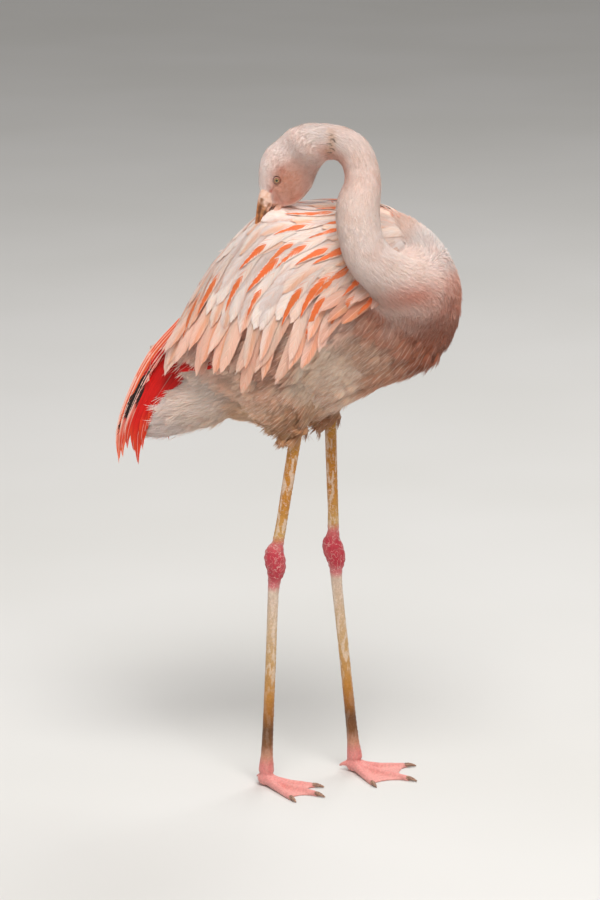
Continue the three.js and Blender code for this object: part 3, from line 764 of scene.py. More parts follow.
FLAMES = [     # tips of the feathers that end in an orange streak
    (0.016, 0.706), (0.028, 0.698), (-0.033, 0.691), (-0.003, 0.680), (0.026, 0.679), (0.026, 0.667),
    (-0.012, 0.663), (-0.047, 0.629), (-0.018, 0.637), (-0.003, 0.636), (0.022, 0.640), (0.039, 0.643),
    (-0.033, 0.607), (0.067, 0.638), (0.078, 0.610), (0.045, 0.604), (0.005, 0.575), (0.027, 0.587),
    (-0.035, 0.581), (-0.063, 0.586), (-0.099, 0.575), (-0.121, 0.547), (0.091, 0.583), (0.038, 0.562),
    (0.064, 0.573),
]


def smooth_table(table):
    """A smooth function through (place, value) pairs."""
    line, _ = curve(table, 12 * len(table))
    return lambda at: np.interp(at, line[:, 0], line[:, 1])


cloak_top, cloak_low, cloak_half = (smooth_table(t) for t in (CLOAK_TOP, CLOAK_LOW, CLOAK_HALF))
cloak_middle, mantle_edge, wing_edge = (smooth_table(t) for t in (CLOAK_MIDDLE, MANTLE_EDGE, WING_EDGE))

TUCK = (-0.018, 0.58)    # the right wing's feathers are lifted over the bill, most at this x and turn
TUCK_RISE = 0.019
TUCK_REACH = (0.034, 0.34)
ROUNDNESS = 0.3          # how bluntly the cloak closes at its front and back


def on_cloak(x, turn, tucked=0.0):
    """The right wing's outer surface from home, by place along X and turn down from the top."""
    reach = (CLOAK_FRONT - CLOAK_BACK) / 2
    along = np.clip((x - (CLOAK_FRONT + CLOAK_BACK) / 2) / reach, -0.9995, 0.9995)
    full = np.sqrt(1 - along**2) ** ROUNDNESS
    rise = np.cos(turn)
    middle = cloak_middle(x)
    high = np.where(rise > 0, cloak_top(x) - middle, middle - cloak_low(x))
    lift = tucked * TUCK_RISE * np.exp(
        -(((x - TUCK[0]) / TUCK_REACH[0]) ** 2) - ((turn - TUCK[1]) / TUCK_REACH[1]) ** 2
    )
    return np.stack([x, -cloak_half(x) * full * np.sin(turn), middle + high * full * rise + lift], axis=-1)


def cloak_slopes(x, turn, tucked=0.0):
    """The surface's two tangents at each place and its outward normal."""
    small = 1e-4
    along = (on_cloak(x + small, turn, tucked) - on_cloak(x - small, turn, tucked)) / (2 * small)
    round_ = (on_cloak(x, turn + small, tucked) - on_cloak(x, turn - small, tucked)) / (2 * small)
    return along, round_, unit(np.cross(round_, along))


def side_flow(x, z, table):
    """The lie of the feathers from the side, drawn from a table of places and their ways."""
    total = np.zeros((len(x), 2))
    for at_x, at_z, *way in table:
        total += nearness(x, z, at_x, at_z, 0.015, 1.5)[:, None] * np.array(way)
    return unit(total)


def wing_flow(places, out):
    """The way that feathers point at each place of the right wing, flat on its surface."""
    way = side_flow(places[:, 0], places[:, 2], FLOW)
    way = np.insert(way, 1, -OUTWARD, axis=1)
    return unit(way - out * (way * out).sum(1, keepdims=True))


def turn_of(x, z):
    """The turn at which the cloak's surface has each height."""
    turns = np.linspace(0.02, 3.0, 300)
    height = on_cloak(*np.broadcast_arrays(x[:, None], turns))[..., 2]
    return turns[np.abs(height - z[:, None]).argmin(axis=1)]


SUBSTEPS = 4             # steps traced from one station of a shaft to the next


def shafts_on_cloak(x, turn, length, stations, tucked):
    """Shaft lines ending at the tips, traced up the flow; places and normals from root to tip."""
    steps = SUBSTEPS * (stations - 1)
    places, normals = [], []
    for k in range(steps + 1):
        along, round_, out = cloak_slopes(x, turn, tucked)
        here = on_cloak(x, turn, tucked)
        if k % SUBSTEPS == 0:
            places.append(here)
            normals.append(out)
        way = wing_flow(here, out)
        aa, ar, rr = (along * along).sum(1), (along * round_).sum(1), (round_ * round_).sum(1)
        wa, wr = (way * along).sum(1), (way * round_).sum(1)
        whole = aa * rr - ar * ar
        pace = length / steps
        x = x - pace * (wa * rr - wr * ar) / whole
        turn = np.maximum(turn - pace * (wr * aa - wa * ar) / whole, 0.01)
    return np.stack(places[::-1], axis=1), np.stack(normals[::-1], axis=1)


def unwrap(points):
    """Where each place of the skin lies on its flattened map: body below, neck and head above."""
    x, y, z = (points - home).T
    round_body = np.arctan2(y, z - 0.56) / (2 * math.pi) + 0.5
    flat = np.stack([0.02 + (x + 0.23) / 0.45 * 0.96, 0.01 + 0.48 * round_body], axis=1)
    neck, index = neck_share(points)
    out = points - neck_line[index]
    turn = np.arctan2(out[:, 1], 0.7 * (out[:, 0] + out[:, 2]))
    on_it = (neck > 0.5) & (neck_knot[index] > 1.2)
    flat[on_it, 0] = 0.02 + 0.5 * neck_knot[index][on_it] / (len(NECK) - 1)
    flat[on_it, 1] = 0.52 + 0.46 * (turn[on_it] / (2 * math.pi) + 0.5)
    head = in_head(points)
    on_head = head_share(points) > 0.5
    flat[on_head, 0] = 0.56 + 0.42 * (head[on_head, 0] + 0.05) / 0.11
    flat[on_head, 1] = 0.52 + 0.46 * (np.arctan2(head[on_head, 1], head[on_head, 2]) / (2 * math.pi) + 0.5)
    return flat


PATCH = 0.003        # how wide one feather is on the flattened map


def add_map(mesh, name, flat):
    """A UV map from each vertex's place on it."""
    corners = get(mesh, "vertex_index", "loops", 1)
    mesh.uv_layers.new(name=name).data.foreach_set("uv", flat[corners].astype(np.float32).ravel())


def map_feathers(mesh, roots, size, shares, reach):
    """The feathers' two maps: in metres for the barbs, and as patches at their roots' places."""
    add_map(mesh, "vane", np.stack([part.ravel() for part in reach], axis=1))
    across, along = (share.ravel() for share in shares)
    patch = np.stack([0.5 * across, along - 0.5], axis=1) * PATCH
    add_map(mesh, "OFBake", np.repeat(unwrap(roots), size, axis=0) + patch)


VANE_COLUMNS = 11
VANE_ROWS = 13
SHARP = 0.9              # vanes drawn in by more than this end in a thin point, the others round
MIRROR = np.array([1, -1, 1])


def vanes(places, normals, half, rng, rise, camber, point, slim, bend=(0, 0), fray=0.03, lifting=0.8,
          taper=0.62):
    """Thin cambered vanes along shaft lines: vertices, and each one's share across and along.

    Each is raised by `rise` from root to tip, hollow by `camber`, drawn in by `slim` from `taper` on
    and bent sideways by `bend`; its end is pointed by `point` and uneven by `fray`.
    """
    count, stations, _ = places.shape
    across = np.linspace(-1, 1, VANE_COLUMNS)
    sides = unit(np.cross(normals, np.gradient(places, axis=1)))
    end = 1 - point * np.abs(across) ** 1.7 + fray * rng.uniform(-1, 1, (count, VANE_COLUMNS))
    end = np.clip(end, 0.5, 1.0)
    along = np.linspace(0, 1, VANE_ROWS)[None, :, None] * end[:, None, :]
    at = along * (stations - 1)
    low = np.minimum(at.astype(int), stations - 2)
    part = (at - low)[..., None]
    one = np.arange(count)[:, None, None]
    place, normal, side = (
        field[one, low] * (1 - part) + field[one, low + 1] * part for field in (places, normals, sides)
    )
    drawn = np.clip((along - taper) / (1 - taper), 0, 1)
    drawn = drawn**1.7 if slim > SHARP else 1 - np.sqrt(np.maximum(1 - drawn**2, 0))
    width = (0.42 + 0.58 * step(along, 0, 0.4)) * (1 - slim * drawn)
    reach = across[None, None, :] * width * half[:, None, None]
    roll = rng.uniform(-0.06, 0.06, (count, 1, 1))
    sickle = rng.uniform(*bend, (count, 1, 1)) * along**2
    lift = rise[0] + (rise[1] - rise[0]) * along**lifting + rng.uniform(-0.0005, 0.0005, (count, 1, 1))
    lift = lift - camber * half[:, None, None] * (across**2)[None, None, :] * width + roll * reach
    verts = place + side * (reach - sickle)[..., None] + normal * lift[..., None]
    return verts, np.broadcast_to(across, along.shape), along, reach


def vane_mesh(name, roots, length, vane, looks, mirror=False, shift=0.0):
    """Joins the vanes into one mesh with their colours, streaks and maps.

    The bird's left side is a mirror image moved by `shift`, its columns turned round so that the
    faces still look outward.
    """
    fields = (*vane, *looks)
    if mirror:
        fields = (field[:, :, ::-1] for field in fields)
    verts, across, along, reach, tints, burnt = fields
    if mirror:
        verts, roots = verts * MIRROR + shift, roots * MIRROR + shift
    count, rows, columns, _ = verts.shape
    grid = np.arange(count * rows * columns).reshape(count, rows, columns)
    quads = np.stack([grid[:, :-1, :-1], grid[:, 1:, :-1], grid[:, 1:, 1:], grid[:, :-1, 1:]], axis=-1)
    mesh = bpy.data.meshes.new(name)
    mesh.from_pydata((verts.reshape(-1, 3) + home).tolist(), [], quads.reshape(-1, 4).tolist())
    store_tint(mesh, tints)
    store(mesh, "burnt", burnt.ravel())
    in_metres = (reach, along * length[:, None, None])
    map_feathers(mesh, roots + home, rows * columns, (across, along), in_metres)
    mesh.shade_smooth()
    return mesh


ROW_GAP = 0.025      # how far one tip lies from the next along the lie of the feathers
TIP_GAP = 0.0082     # and across it


def spread_tips(rng, taken, front, tries=12000):
    """Tips spread evenly over the wing, much further apart along the lie than across it."""
    x = rng.uniform(-0.171, front, tries)
    turn = rng.uniform(0.05, 2.0, tries)
    place = on_cloak(x, turn)
    low_limit = wing_edge(x) + 0.002 + 0.016 * step(np.abs(place[:, 1]), 0.040, 0.060)
    good = (np.abs(place[:, 1]) > mantle_edge(x) + 0.004) & ((place[:, 2] > low_limit) | (x < -0.155))
    place = place[good]
    way = wing_flow(place, cloak_slopes(x[good], turn[good])[2])
    kept = np.vstack([taken, place])
    count = len(taken)
    chosen = []
    for spot, lie in zip(place, way):
        away = kept[:count] - spot
        along = away @ lie
        across = np.sqrt(np.maximum((away**2).sum(1) - along**2, 0))
        if np.hypot(along / ROW_GAP, across / TIP_GAP).min() > 1:
            kept[count] = spot
            count += 1
            chosen.append(spot)
    return np.array(chosen)


STATIONS = 9
RUMP = (0.10, 0.45, 0.85, 1.30, 1.80)     # turns of the feathers that hang over the tail's root
RUMP_FALL = np.array([-0.010, 0, -0.032])
KINDS = {     # the covering feathers, the long drooping ones, those with a streak, and the rump's
    "cover": dict(rise=(-0.0024, 0.0000), slim=0.80, bend=(-0.003, 0.008), taper=0.50),
    "drape": dict(rise=(-0.0034, 0.0065), slim=0.88, bend=(-0.002, 0.022), lifting=4.0, taper=0.48),
    "flame": dict(rise=(0.0002, 0.0009), slim=0.97, bend=(0.0, 0.008), taper=0.35),
    "rump": dict(rise=(-0.0020, 0.0020), slim=0.85, bend=(-0.004, 0.004), lifting=1.0, taper=0.50),
}
SALMON = rgb(232, 158, 122)
SALMON_STREAK = rgb(238, 150, 104)


def towards(tints, colour, share):
    """Draws a field of colours towards one colour."""
    return tints + (colour - tints) * share[..., None]


def feather_tips(rng, side_name):
    """Each kind's tips: x, turn, length and half-width of the feathers."""
    marks = np.array(FLAMES)
    if side_name == "left":
        marks = marks[marks[:, 1] < 0.665]
    marks_turn = turn_of(marks[:, 0], marks[:, 1])
    drape = np.array(DRAPE)
    between = (drape[1:] + drape[:-1]) / 2 + np.array([0, 0.010, 0])
    above = 0.75 * drape[1:] + 0.25 * drape[:-1] + np.array([0, 0.026, 0])
    drape = np.vstack([drape, between, above])
    drape_turn = turn_of(drape[:, 0], drape[:, 1])
    taken = np.vstack([on_cloak(marks[:, 0], marks_turn), on_cloak(drape[:, 0], drape_turn)])
    tips = spread_tips(rng, taken, 0.118 if side_name == "right" else 0.070)
    low = step(tips[:, 2], 0.66, 0.57)
    small = step(marks[:, 1], 0.60, 0.70)
    return {
        "cover": (tips[:, 0], turn_of(tips[:, 0], tips[:, 2]), 0.080 + 0.034 * low, 0.0088 + 0.0008 * low),
        "drape": (drape[:, 0], drape_turn, drape[:, 2] + 0.034, 0.0083),
        "flame": (marks[:, 0], marks_turn, 0.084 - 0.010 * small, 0.0062 - 0.0014 * small),
        "rump": (np.full(len(RUMP), -0.166), np.array(RUMP), 0.085, 0.0100),
    }


def wing_tints(rng, kind, middle, share_across, along):
    """Pinkish white vanes with salmon edges and streaks, darker towards the root as painted shade under the
    feathers above, and where they are burnt orange.
    """
    count = len(middle)
    colour = body_colour(middle + home) * rng.uniform(0.93, 1.05, (count, 1))
    tints = np.broadcast_to(colour[:, None, None, :], (*along.shape, 3)).copy()
    edge = step(share_across, 0.2, 1.0) * step(along, 0.15, 0.6)
    warm = rng.uniform(0.2, 0.9, (count, 1, 1)) * edge
    # Each vane darkens towards its root, which lies under the feathers above: painted shade.
    tints = towards(tints, SALMON, 0.55 * warm) * (0.80 + 0.20 * step(along, 0.0, 0.6))[..., None]
    burnt = np.zeros(along.shape)
    if kind == "flame":
        start = rng.uniform(0.05, 0.30, (count, 1, 1))
        burnt = step(along, start, start + 0.42) * (1.12 - 1.1 * np.abs(share_across + 0.1) ** 2)
        burnt = burnt * rng.uniform(0.70, 1.08, (count, 1, 1))
    lucky = rng.uniform(0, 1, (count, 1, 1)) < 0.35
    streak = lucky * step(along, 0.30, 0.75) * step(np.abs(share_across - 0.35), 0.75, 0.15)
    return towards(tints, SALMON_STREAK, 0.60 * streak), burnt


wing_vanes = {"right": [], "left": []}
for side_name, seed in (("right", 3), ("left", 8)):
    rng = np.random.default_rng(seed)
    for kind, (x, turn, length, half) in feather_tips(rng, side_name).items():
        length = np.broadcast_to(length, x.shape) * rng.uniform(0.92, 1.08, len(x))
        half = np.broadcast_to(half, x.shape) * rng.uniform(0.85, 1.15, len(x))
        places, normals = shafts_on_cloak(x, turn, length, STATIONS, float(side_name == "right"))
        if kind == "rump":
            places = places + (np.linspace(0, 1, STATIONS) ** 2)[None, :, None] * RUMP_FALL
        vane = vanes(places, normals, half, rng, camber=0.10, point=0.10, **KINDS[kind])
        looks = wing_tints(rng, kind, places[:, STATIONS // 2], *vane[1:3])
        mesh = vane_mesh(f"vanes_{kind}", places[:, 0], length, vane, looks, side_name == "left")
        wing_vanes[side_name].append(mesh)

FLAME_ORANGE = rgb(238, 108, 46)
SOFT_KERATIN = {     # light seeps through the thin vanes
    "Sheen Weight": 0.10, "Subsurface Weight": 0.35, "Subsurface Radius": (1.0, 0.55, 0.40),
    "Subsurface Scale": 0.008,
}
BARB_SLANT = 2.3         # how far up the shaft a barb starts for each metre that it reaches out


def vane_material(name, burnt_colour, more):
    """Fine barbs slanting from a pale shaft; `burnt` brings in the burnt colour in streaks."""
    finish, tree, shader, place = material(name, rough=0.60, more=more)
    uv = node(tree, "ShaderNodeUVMap", uv_map="vane").outputs["UV"]
    parts = node(tree, "ShaderNodeSeparateXYZ", {0: uv}).outputs
    out = maths(tree, "ABSOLUTE", parts[0])
    barb = maths(tree, "SUBTRACT", parts[1], maths(tree, "MULTIPLY", out, BARB_SLANT))
    spread = node(tree, "ShaderNodeCombineXYZ", {0: barb, 1: maths(tree, "MULTIPLY", out, 0.10)}).outputs[0]
    lone = vector_maths(tree, "MULTIPLY", place, (0.02, 0.02, 0.02))
    spread = vector_maths(tree, "ADD", spread, lone)
    fine = noise(tree, spread, 1500, detail=2)
    broad = noise(tree, spread, 380, detail=1)
    tint = kept(tree, "tint")
    flame = kept(tree, "burnt", "Fac")
    streaky = maths(tree, "ADD", flame, maths(tree, "MULTIPLY", maths(tree, "SUBTRACT", broad, 0.5), 1.5))
    washed = mixed(tree, ramp(tree, broad, 0.46, 0.70, 0.0, 0.55), tint, (1.0, 0.80, 0.68), "MULTIPLY")
    burnt = mixed(tree, ramp(tree, streaky, 0.30, 0.66), washed, burnt_colour)
    barred = shaded(tree, burnt, ramp(tree, fine, 0.3, 0.7, 0.86, 1.06))
    shaft = ramp(tree, out, 0.00015, 0.00055, 0.30, 0.0)
    shaft = maths(tree, "MULTIPLY", shaft, maths(tree, "SUBTRACT", 1.0, flame))
    tree.links.new(mixed(tree, shaft, barred, rgb(250, 226, 210)), shader.inputs["Base Color"])
    bump(tree, shader, maths(tree, "ADD", fine, maths(tree, "MULTIPLY", broad, 0.6)), 0.00018, 0.7)
    return finish


vane_finish = vane_material("vane", FLAME_ORANGE, SOFT_KERATIN)


def join_meshes(name, meshes):
    """One mesh out of several, with their attributes and maps."""
    gathered = bmesh.new()
    for mesh in meshes:
        gathered.from_mesh(mesh)
    whole = bpy.data.meshes.new(name)
    gathered.to_mesh(whole)
    gathered.free()
    for mesh in meshes:
        bpy.data.meshes.remove(mesh)
    return whole


for side_name, meshes in wing_vanes.items():
    plumage = new_object(f"wing_plumage_{side_name}", join_meshes(f"wing_plumage_{side_name}", meshes))
    plumage.data.materials.append(vane_finish)
    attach(plumage, "root")

# ---------------------------------------------------------------------------------------------
# Flight feathers and tail
# The ends of the folded primaries hang behind the wings in a narrow bundle: orange-red outside, a
# black band, scarlet inside. Short scarlet feathers lie under the wing's tips and make the tail.
# ---------------------------------------------------------------------------------------------
FLIGHT_SHAFTS = [     # four guide shafts from the side, outermost first
    [(-0.136, 0.560), (-0.172, 0.516), (-0.200, 0.459), (-0.212, 0.419), (-0.213, 0.385)],
    [(-0.130, 0.552), (-0.164, 0.508), (-0.190, 0.458), (-0.201, 0.428), (-0.203, 0.404)],
    [(-0.122, 0.545), (-0.153, 0.501), (-0.177, 0.454), (-0.187, 0.419), (-0.185, 0.384)],
    [(-0.108, 0.540), (-0.140, 0.496), (-0.166, 0.458), (-0.176, 0.436), (-0.178, 0.416)],
]
LEFT_BUNDLE = np.array([0.012, 0.0, 0.014])     # the left bundle lies this far from a mirror image
ORANGE_RED = rgb(242, 96, 52)
SCARLET = rgb(216, 20, 14)
BLACK = rgb(34, 22, 20)
RIM_WHITE = rgb(250, 224, 210)
FLIGHT_FEATHERS = [     # guide shaft, share of its length, half-width, how far out, colour, where black
    (-0.25, 0.94, 0.0050, 0.0250, "orange", None), (-0.05, 1.00, 0.0052, 0.0258, "orange", (0.64, 0.72)),
    (0.20, 0.98, 0.0052, 0.0266, "orange", (0.46, 0.70)), (0.50, 0.92, 0.0050, 0.0274, "black", (0.37, 0.68)),
    (0.80, 0.97, 0.0048, 0.0284, "black", (0.29, 0.63)), (1.12, 0.88, 0.0052, 0.0294, "black", (0.44, 0.58)),
    (1.45, 0.96, 0.0054, 0.0306, "scarlet", None), (1.75, 1.00, 0.0054, 0.0318, "scarlet", None),
    (2.02, 0.99, 0.0056, 0.0330, "scarlet", None), (2.30, 0.91, 0.0058, 0.0342, "scarlet", None),
    (2.60, 0.86, 0.0060, 0.0354, "scarlet", None), (2.90, 0.82, 0.0062, 0.0366, "scarlet", None),
    (3.20, 0.76, 0.0064, 0.0378, "scarlet", None), (3.60, 0.66, 0.0068, 0.0392, "scarlet", None),
]


def side_shafts(feathers):
    """Smooth shaft lines in planes along X and Z, one for each row of the table."""
    guides = np.array(FLIGHT_SHAFTS)
    places = []
    for guide, reach, _, out, *_ in feathers:
        first = int(np.clip(guide, 0, len(guides) - 2))
        knots = guides[first] + (guides[first + 1] - guides[first]) * (guide - first)
        line, _ = curve(knots, 81)
        line = line[: int(round(80 * reach)) + 1]
        at = np.linspace(0, len(line) - 1, STATIONS)
        x, z = (np.interp(at, np.arange(len(line)), line[:, k]) for k in (0, 1))
        places.append(np.stack([x, np.full(STATIONS, -out), z], axis=1))
    return np.array(places)


def shaft_lengths(places):
    """How long each shaft is."""
    return np.linalg.norm(np.diff(places, axis=1), axis=2).sum(1)


def flight_tints(kinds, blacks, share_across, along):
    """Each feather's colour, and where it is black."""
    tints = np.zeros((*along.shape, 3))
    burnt = np.zeros(along.shape)
    for i, (kind, black) in enumerate(zip(kinds, blacks)):
        a, t = share_across[i], along[i]
        tints[i] = ORANGE_RED if kind == "orange" else SCARLET
        if kind != "deep":
            tip = step(t, 0.60, 0.95) * (0.35 + 0.65 * np.abs(a))
            tints[i] = towards(tints[i], ORANGE_RED, 0.75 * tip)
        if black:
            first, last = black
            burnt[i] = step(t, first - 0.04, first + 0.05) * step(t, last + 0.04, last - 0.03)
            burnt[i] *= step(np.abs(a), 1.05, 0.7)
            paler = step(t, last - 0.01, last + 0.03) * step(t, last + 0.20, last + 0.08)
            tints[i] = towards(tints[i], rgb(240, 150, 130), 0.65 * paler)
        if kind in ("orange", "black"):
            rim = step(np.abs(a), 0.60, 0.98) * step(t, 0.98, 0.7)
            tints[i] = towards(tints[i], RIM_WHITE, 0.85 * rim)
        tints[i] *= (0.82 + 0.18 * step(np.abs(a), 0.1, 0.9))[..., None]
    return tints, burnt


flight_finish = vane_material("flight_vane", BLACK, {"Specular IOR Level": 0.3})
for side_name, sign in SIDES.items():
    rng = np.random.default_rng(21 + sign)
    places = side_shafts(FLIGHT_FEATHERS)
    kinds, blacks = ([row[k] for row in FLIGHT_FEATHERS] for k in (4, 5))
    half = np.array([row[2] for row in FLIGHT_FEATHERS])
    normals = np.broadcast_to(np.array([0.0, -1.0, 0.0]), places.shape)
    vane = vanes(
        places, normals, half, rng, rise=(-0.0008, 0.0008), camber=0.16, point=0.22, slim=0.88,
        bend=(-0.003, 0.003),
    )
    looks = flight_tints(kinds, blacks, *vane[1:3])
    mesh = vane_mesh(
        f"flight_{side_name}_vanes", places[:, 0], shaft_lengths(places), vane, looks,
        side_name == "left", LEFT_BUNDLE,
    )
    flight = new_object(f"flight_feathers_{side_name}", mesh)
    mesh.materials.append(flight_finish)
    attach(flight, "root")
    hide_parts(f"flight_{side_name}")

TAIL_SPINE = [(-0.120, 0.549), (-0.150, 0.509), (-0.176, 0.478), (-0.196, 0.450)]
TAIL_FEATHERS = 12
TAIL_HALF = 0.0072       # half the width of each
TAIL_LEAN = np.array([-0.75, 0.0, 0.66])     # the tail's upper side faces this way
UNDER_WING = [     # scarlet feathers seen under the wing's tips: root, tip and how far out
    ((-0.050, 0.551), (-0.094, 0.517), 0.062), ((-0.060, 0.551), (-0.106, 0.514), 0.061),
    ((-0.075, 0.553), (-0.118, 0.510), 0.058), ((-0.090, 0.553), (-0.130, 0.507), 0.055),
    ((-0.098, 0.553), (-0.140, 0.504), 0.050), ((-0.036, 0.551), (-0.084, 0.520), 0.063),
    ((-0.106, 0.555), (-0.149, 0.500), 0.045), ((-0.112, 0.556), (-0.156, 0.496), 0.041),
]
rng = np.random.default_rng(33)
places, normals = [], []
spine, _ = curve(TAIL_SPINE, STATIONS)
for i in range(TAIL_FEATHERS):
    off = (i - (TAIL_FEATHERS - 1) / 2) / ((TAIL_FEATHERS - 1) / 2)
    y = off * np.linspace(0.022, 0.026, STATIONS)
    height = 0.004 - 0.004 * abs(off)
    places.append(np.stack([spine[:, 0], y, spine[:, 1]], axis=1) + TAIL_LEAN * height)
    normals.append(np.tile(TAIL_LEAN + np.array([0, 0.5 * off, 0]), (STATIONS, 1)))
for side_name, sign in SIDES.items():
    for (root_x, root_z), (tip_x, tip_z), out in UNDER_WING:
        share = np.linspace(0, 1, STATIONS)
        sag = 0.006 * np.sin(np.pi * share)
        y = np.full(STATIONS, sign * out)
        x = root_x + (tip_x - root_x) * share
        z = root_z + (tip_z - root_z) * share - sag
        places.append(np.stack([x, y, z], axis=1))
        normals.append(np.tile(np.array([-0.1, sign, 0.15]), (STATIONS, 1)))
places, normals = np.array(places), unit(np.array(normals))
half = np.full(len(places), TAIL_HALF)
vane = vanes(places, normals, half, rng, rise=(0, 0.0008), camber=0.12, point=0.2, slim=0.6)
kinds = ["scarlet"] * TAIL_FEATHERS + ["deep"] * (len(places) - TAIL_FEATHERS)
looks = flight_tints(kinds, [None] * len(places), *vane[1:3])
mesh = vane_mesh("tail_vanes", places[:, 0], shaft_lengths(places), vane, looks)
tail = new_object("tail_feathers", mesh)
mesh.materials.append(flight_finish)
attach(tail, "root")
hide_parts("tail")

# ---------------------------------------------------------------------------------------------
# Bill
# Two halves of smooth horn, bent down in the middle and tucked among the wing feathers: pink and
# ochre in blotches at the base, black from the bend on, with a dark line where the halves meet.
# ---------------------------------------------------------------------------------------------
BILL_TOP = [
    (0.030, 0.010), (0.040, 0.0080), (0.050, 0.0035), (0.067, -0.0085), (0.080, -0.0190), (0.088, -0.0330),
    (0.091, -0.0500), (0.090, -0.0650), (0.0865, -0.0760),
]
BILL_GAPE = [     # where the halves meet
    (0.030, -0.0130), (0.040, -0.0153), (0.050, -0.0170), (0.064, -0.0235), (0.075, -0.0340),
    (0.0815, -0.0480), (0.0845, -0.0620), (0.085, -0.0700), (0.084, -0.0770),
]
BILL_JAW = [
    (0.030, -0.0200), (0.040, -0.0250), (0.046, -0.0290), (0.057, -0.0370), (0.0665, -0.0475),
    (0.074, -0.0580), (0.0795, -0.0670), (0.081, -0.0720), (0.083, -0.0775),
]
BILL_HALF = {     # half-widths from the face to the tip
    "upper": [0.0140, 0.0135, 0.0118, 0.0102, 0.0104, 0.0094, 0.0072, 0.0048, 0.0020],
    "lower": [0.0070, 0.0086, 0.0098, 0.0098, 0.0102, 0.0092, 0.0070, 0.0046, 0.0020],
}
BILL_SIDES = 36
BILL_STEPS = 110
GAPE_PART = 0.0009       # half the dark line between the halves
BILL_STREAKS = [     # brown streaks down the horn, on the side: line, half-width, colour, strength
    ([(0.0455, 0.0008), (0.0490, -0.0022), (0.0530, -0.0052), (0.0594, -0.0092)],
     0.0026, (124, 74, 26), 0.92),
    ([(0.0520, -0.0050), (0.0600, -0.0095), (0.0680, -0.0150)], 0.0026, (92, 48, 20), 0.90),
    ([(0.0430, -0.0100), (0.0475, -0.0112), (0.0522, -0.0124), (0.0590, -0.0145)],
     0.0018, (142, 84, 34), 0.90),
    ([(0.0530, -0.0128), (0.0600, -0.0155), (0.0670, -0.0205)], 0.0021, (74, 38, 20), 0.90),
    ([(0.0400, -0.0135), (0.0440, -0.0150), (0.0500, -0.0165)], 0.0008, (196, 120, 84), 0.70),
    ([(0.0500, -0.0080), (0.0560, -0.0105), (0.0620, -0.0130)], 0.0012, (206, 150, 104), 0.60),
]
BILL_PALE = (0.0460, -0.0235, 0.0100)     # the lower half's pinkish white: forward, up, reach
BILL_LUMP = 0.0030       # the size of the blotches that make the streaks uneven


def lumpy(places, size):
    """Smooth unevenness over places; size is that of one patch."""
    return np.array([lumps.noise(Vector(place) / size) for place in places.tolist()])


def bill_form(upper, lower, half_name):
    """A closed horn between two bent lines of the head's frame."""
    high, _ = curve(upper, BILL_STEPS)
    low, _ = curve(lower, BILL_STEPS)
    wide, _ = curve([(w, 0) for w in BILL_HALF[half_name]], BILL_STEPS)
    angle = np.linspace(0, 2 * math.pi, BILL_SIDES, endpoint=False)
    round_y = np.sign(np.cos(angle)) * np.abs(np.cos(angle)) ** 0.50
    round_z = np.sign(np.sin(angle)) * np.abs(np.sin(angle)) ** 0.80
    middle, reach = (high + low) / 2, (high - low) / 2
    rings = np.zeros((BILL_STEPS, BILL_SIDES, 3))
    rings[..., (0, 2)] = middle[:, None, :] + reach[:, None, :] * round_z[None, :, None]
    rings[..., 1] = wide[:, :1] * round_y * (1 - 0.10 * np.abs(round_z))
    grid = np.arange(BILL_STEPS * BILL_SIDES).reshape(BILL_STEPS, BILL_SIDES)
    after = np.roll(grid, -1, axis=1)
    quads = np.stack([grid[:-1], after[:-1], after[1:], grid[1:]], axis=-1).reshape(-1, 4).tolist()
    ends = [grid[0][::-1].tolist(), grid[-1].tolist()]
    mesh = bpy.data.meshes.new(f"bill_{half_name}_horn")
    mesh.from_pydata(from_head(rings.reshape(-1, 3)).tolist(), [], quads + ends)
    return mesh


gape_up = [(s, u + GAPE_PART) for s, u in BILL_GAPE]
gape_down = [(s, u - GAPE_PART) for s, u in BILL_GAPE]
for half_name, upper, lower in (("upper", BILL_TOP, gape_up), ("lower", gape_down, BILL_JAW)):
    mesh = bill_form(upper, lower, half_name)
    head = in_head(get(mesh, "co"))
    s, y, u = head.T
    rough = lumpy(head, BILL_LUMP)
    base = np.tile(rgb(244, 206, 188), (len(s), 1))
    base = blend(base, rgb(226, 142, 80), step(s + 0.005 * rough, 0.047, 0.058))
    for line, wide, colour, strength in BILL_STREAKS:
        away, share = along_line(s, u, line)
        wide = wide * (1.1 + 0.9 * rough)
        streak = bell(away, wide) * step(share, -0.01, 0.12)
        base = blend(base, rgb(*colour), strength * streak * step(np.abs(y), 0.002, 0.005))
    if half_name == "lower":
        away = np.hypot(s - BILL_PALE[0], u - BILL_PALE[1])
        base = blend(base, rgb(222, 168, 148), 0.9 * bell(away, BILL_PALE[2]))
    away, share = along_line(s, u, BILL_GAPE)
    gape = step(away, 0.0022, 0.0012) * step(s, 0.037, 0.041) * step(s, 0.066, 0.060)
    base = blend(base, rgb(52, 26, 18), 0.92 * gape)
    base = blend(base, rgb(24, 20, 19), step(s, 0.074, 0.081))
    store_tint(mesh, base)
    mesh.shade_smooth()
    horn = new_object(f"bill_{half_name}_half", mesh)
    finish, tree, shader, place = material(
        f"bill_{half_name}_horn", rough=0.42, more={"Coat Weight": 0.15}
    )
    tint = kept(tree, "tint")
    blotch = ramp(tree, noise(tree, place, 260, detail=3), 0.46, 0.62)
    blotched = mixed(tree, blotch, tint, (0.94, 0.84, 0.74), blend="MULTIPLY")
    speckle = ramp(tree, noise(tree, place, 700, detail=2), 0.55, 0.72, 0.0, 0.35)
    tree.links.new(mixed(tree, speckle, blotched, (0.7, 0.6, 0.5), "MULTIPLY"), shader.inputs["Base Color"])
    bump(tree, shader, noise(tree, place, 500, detail=3), 0.0003, 0.5)
    mesh.materials.append(finish)
    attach(horn, "root")
    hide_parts(f"bill_{half_name}")

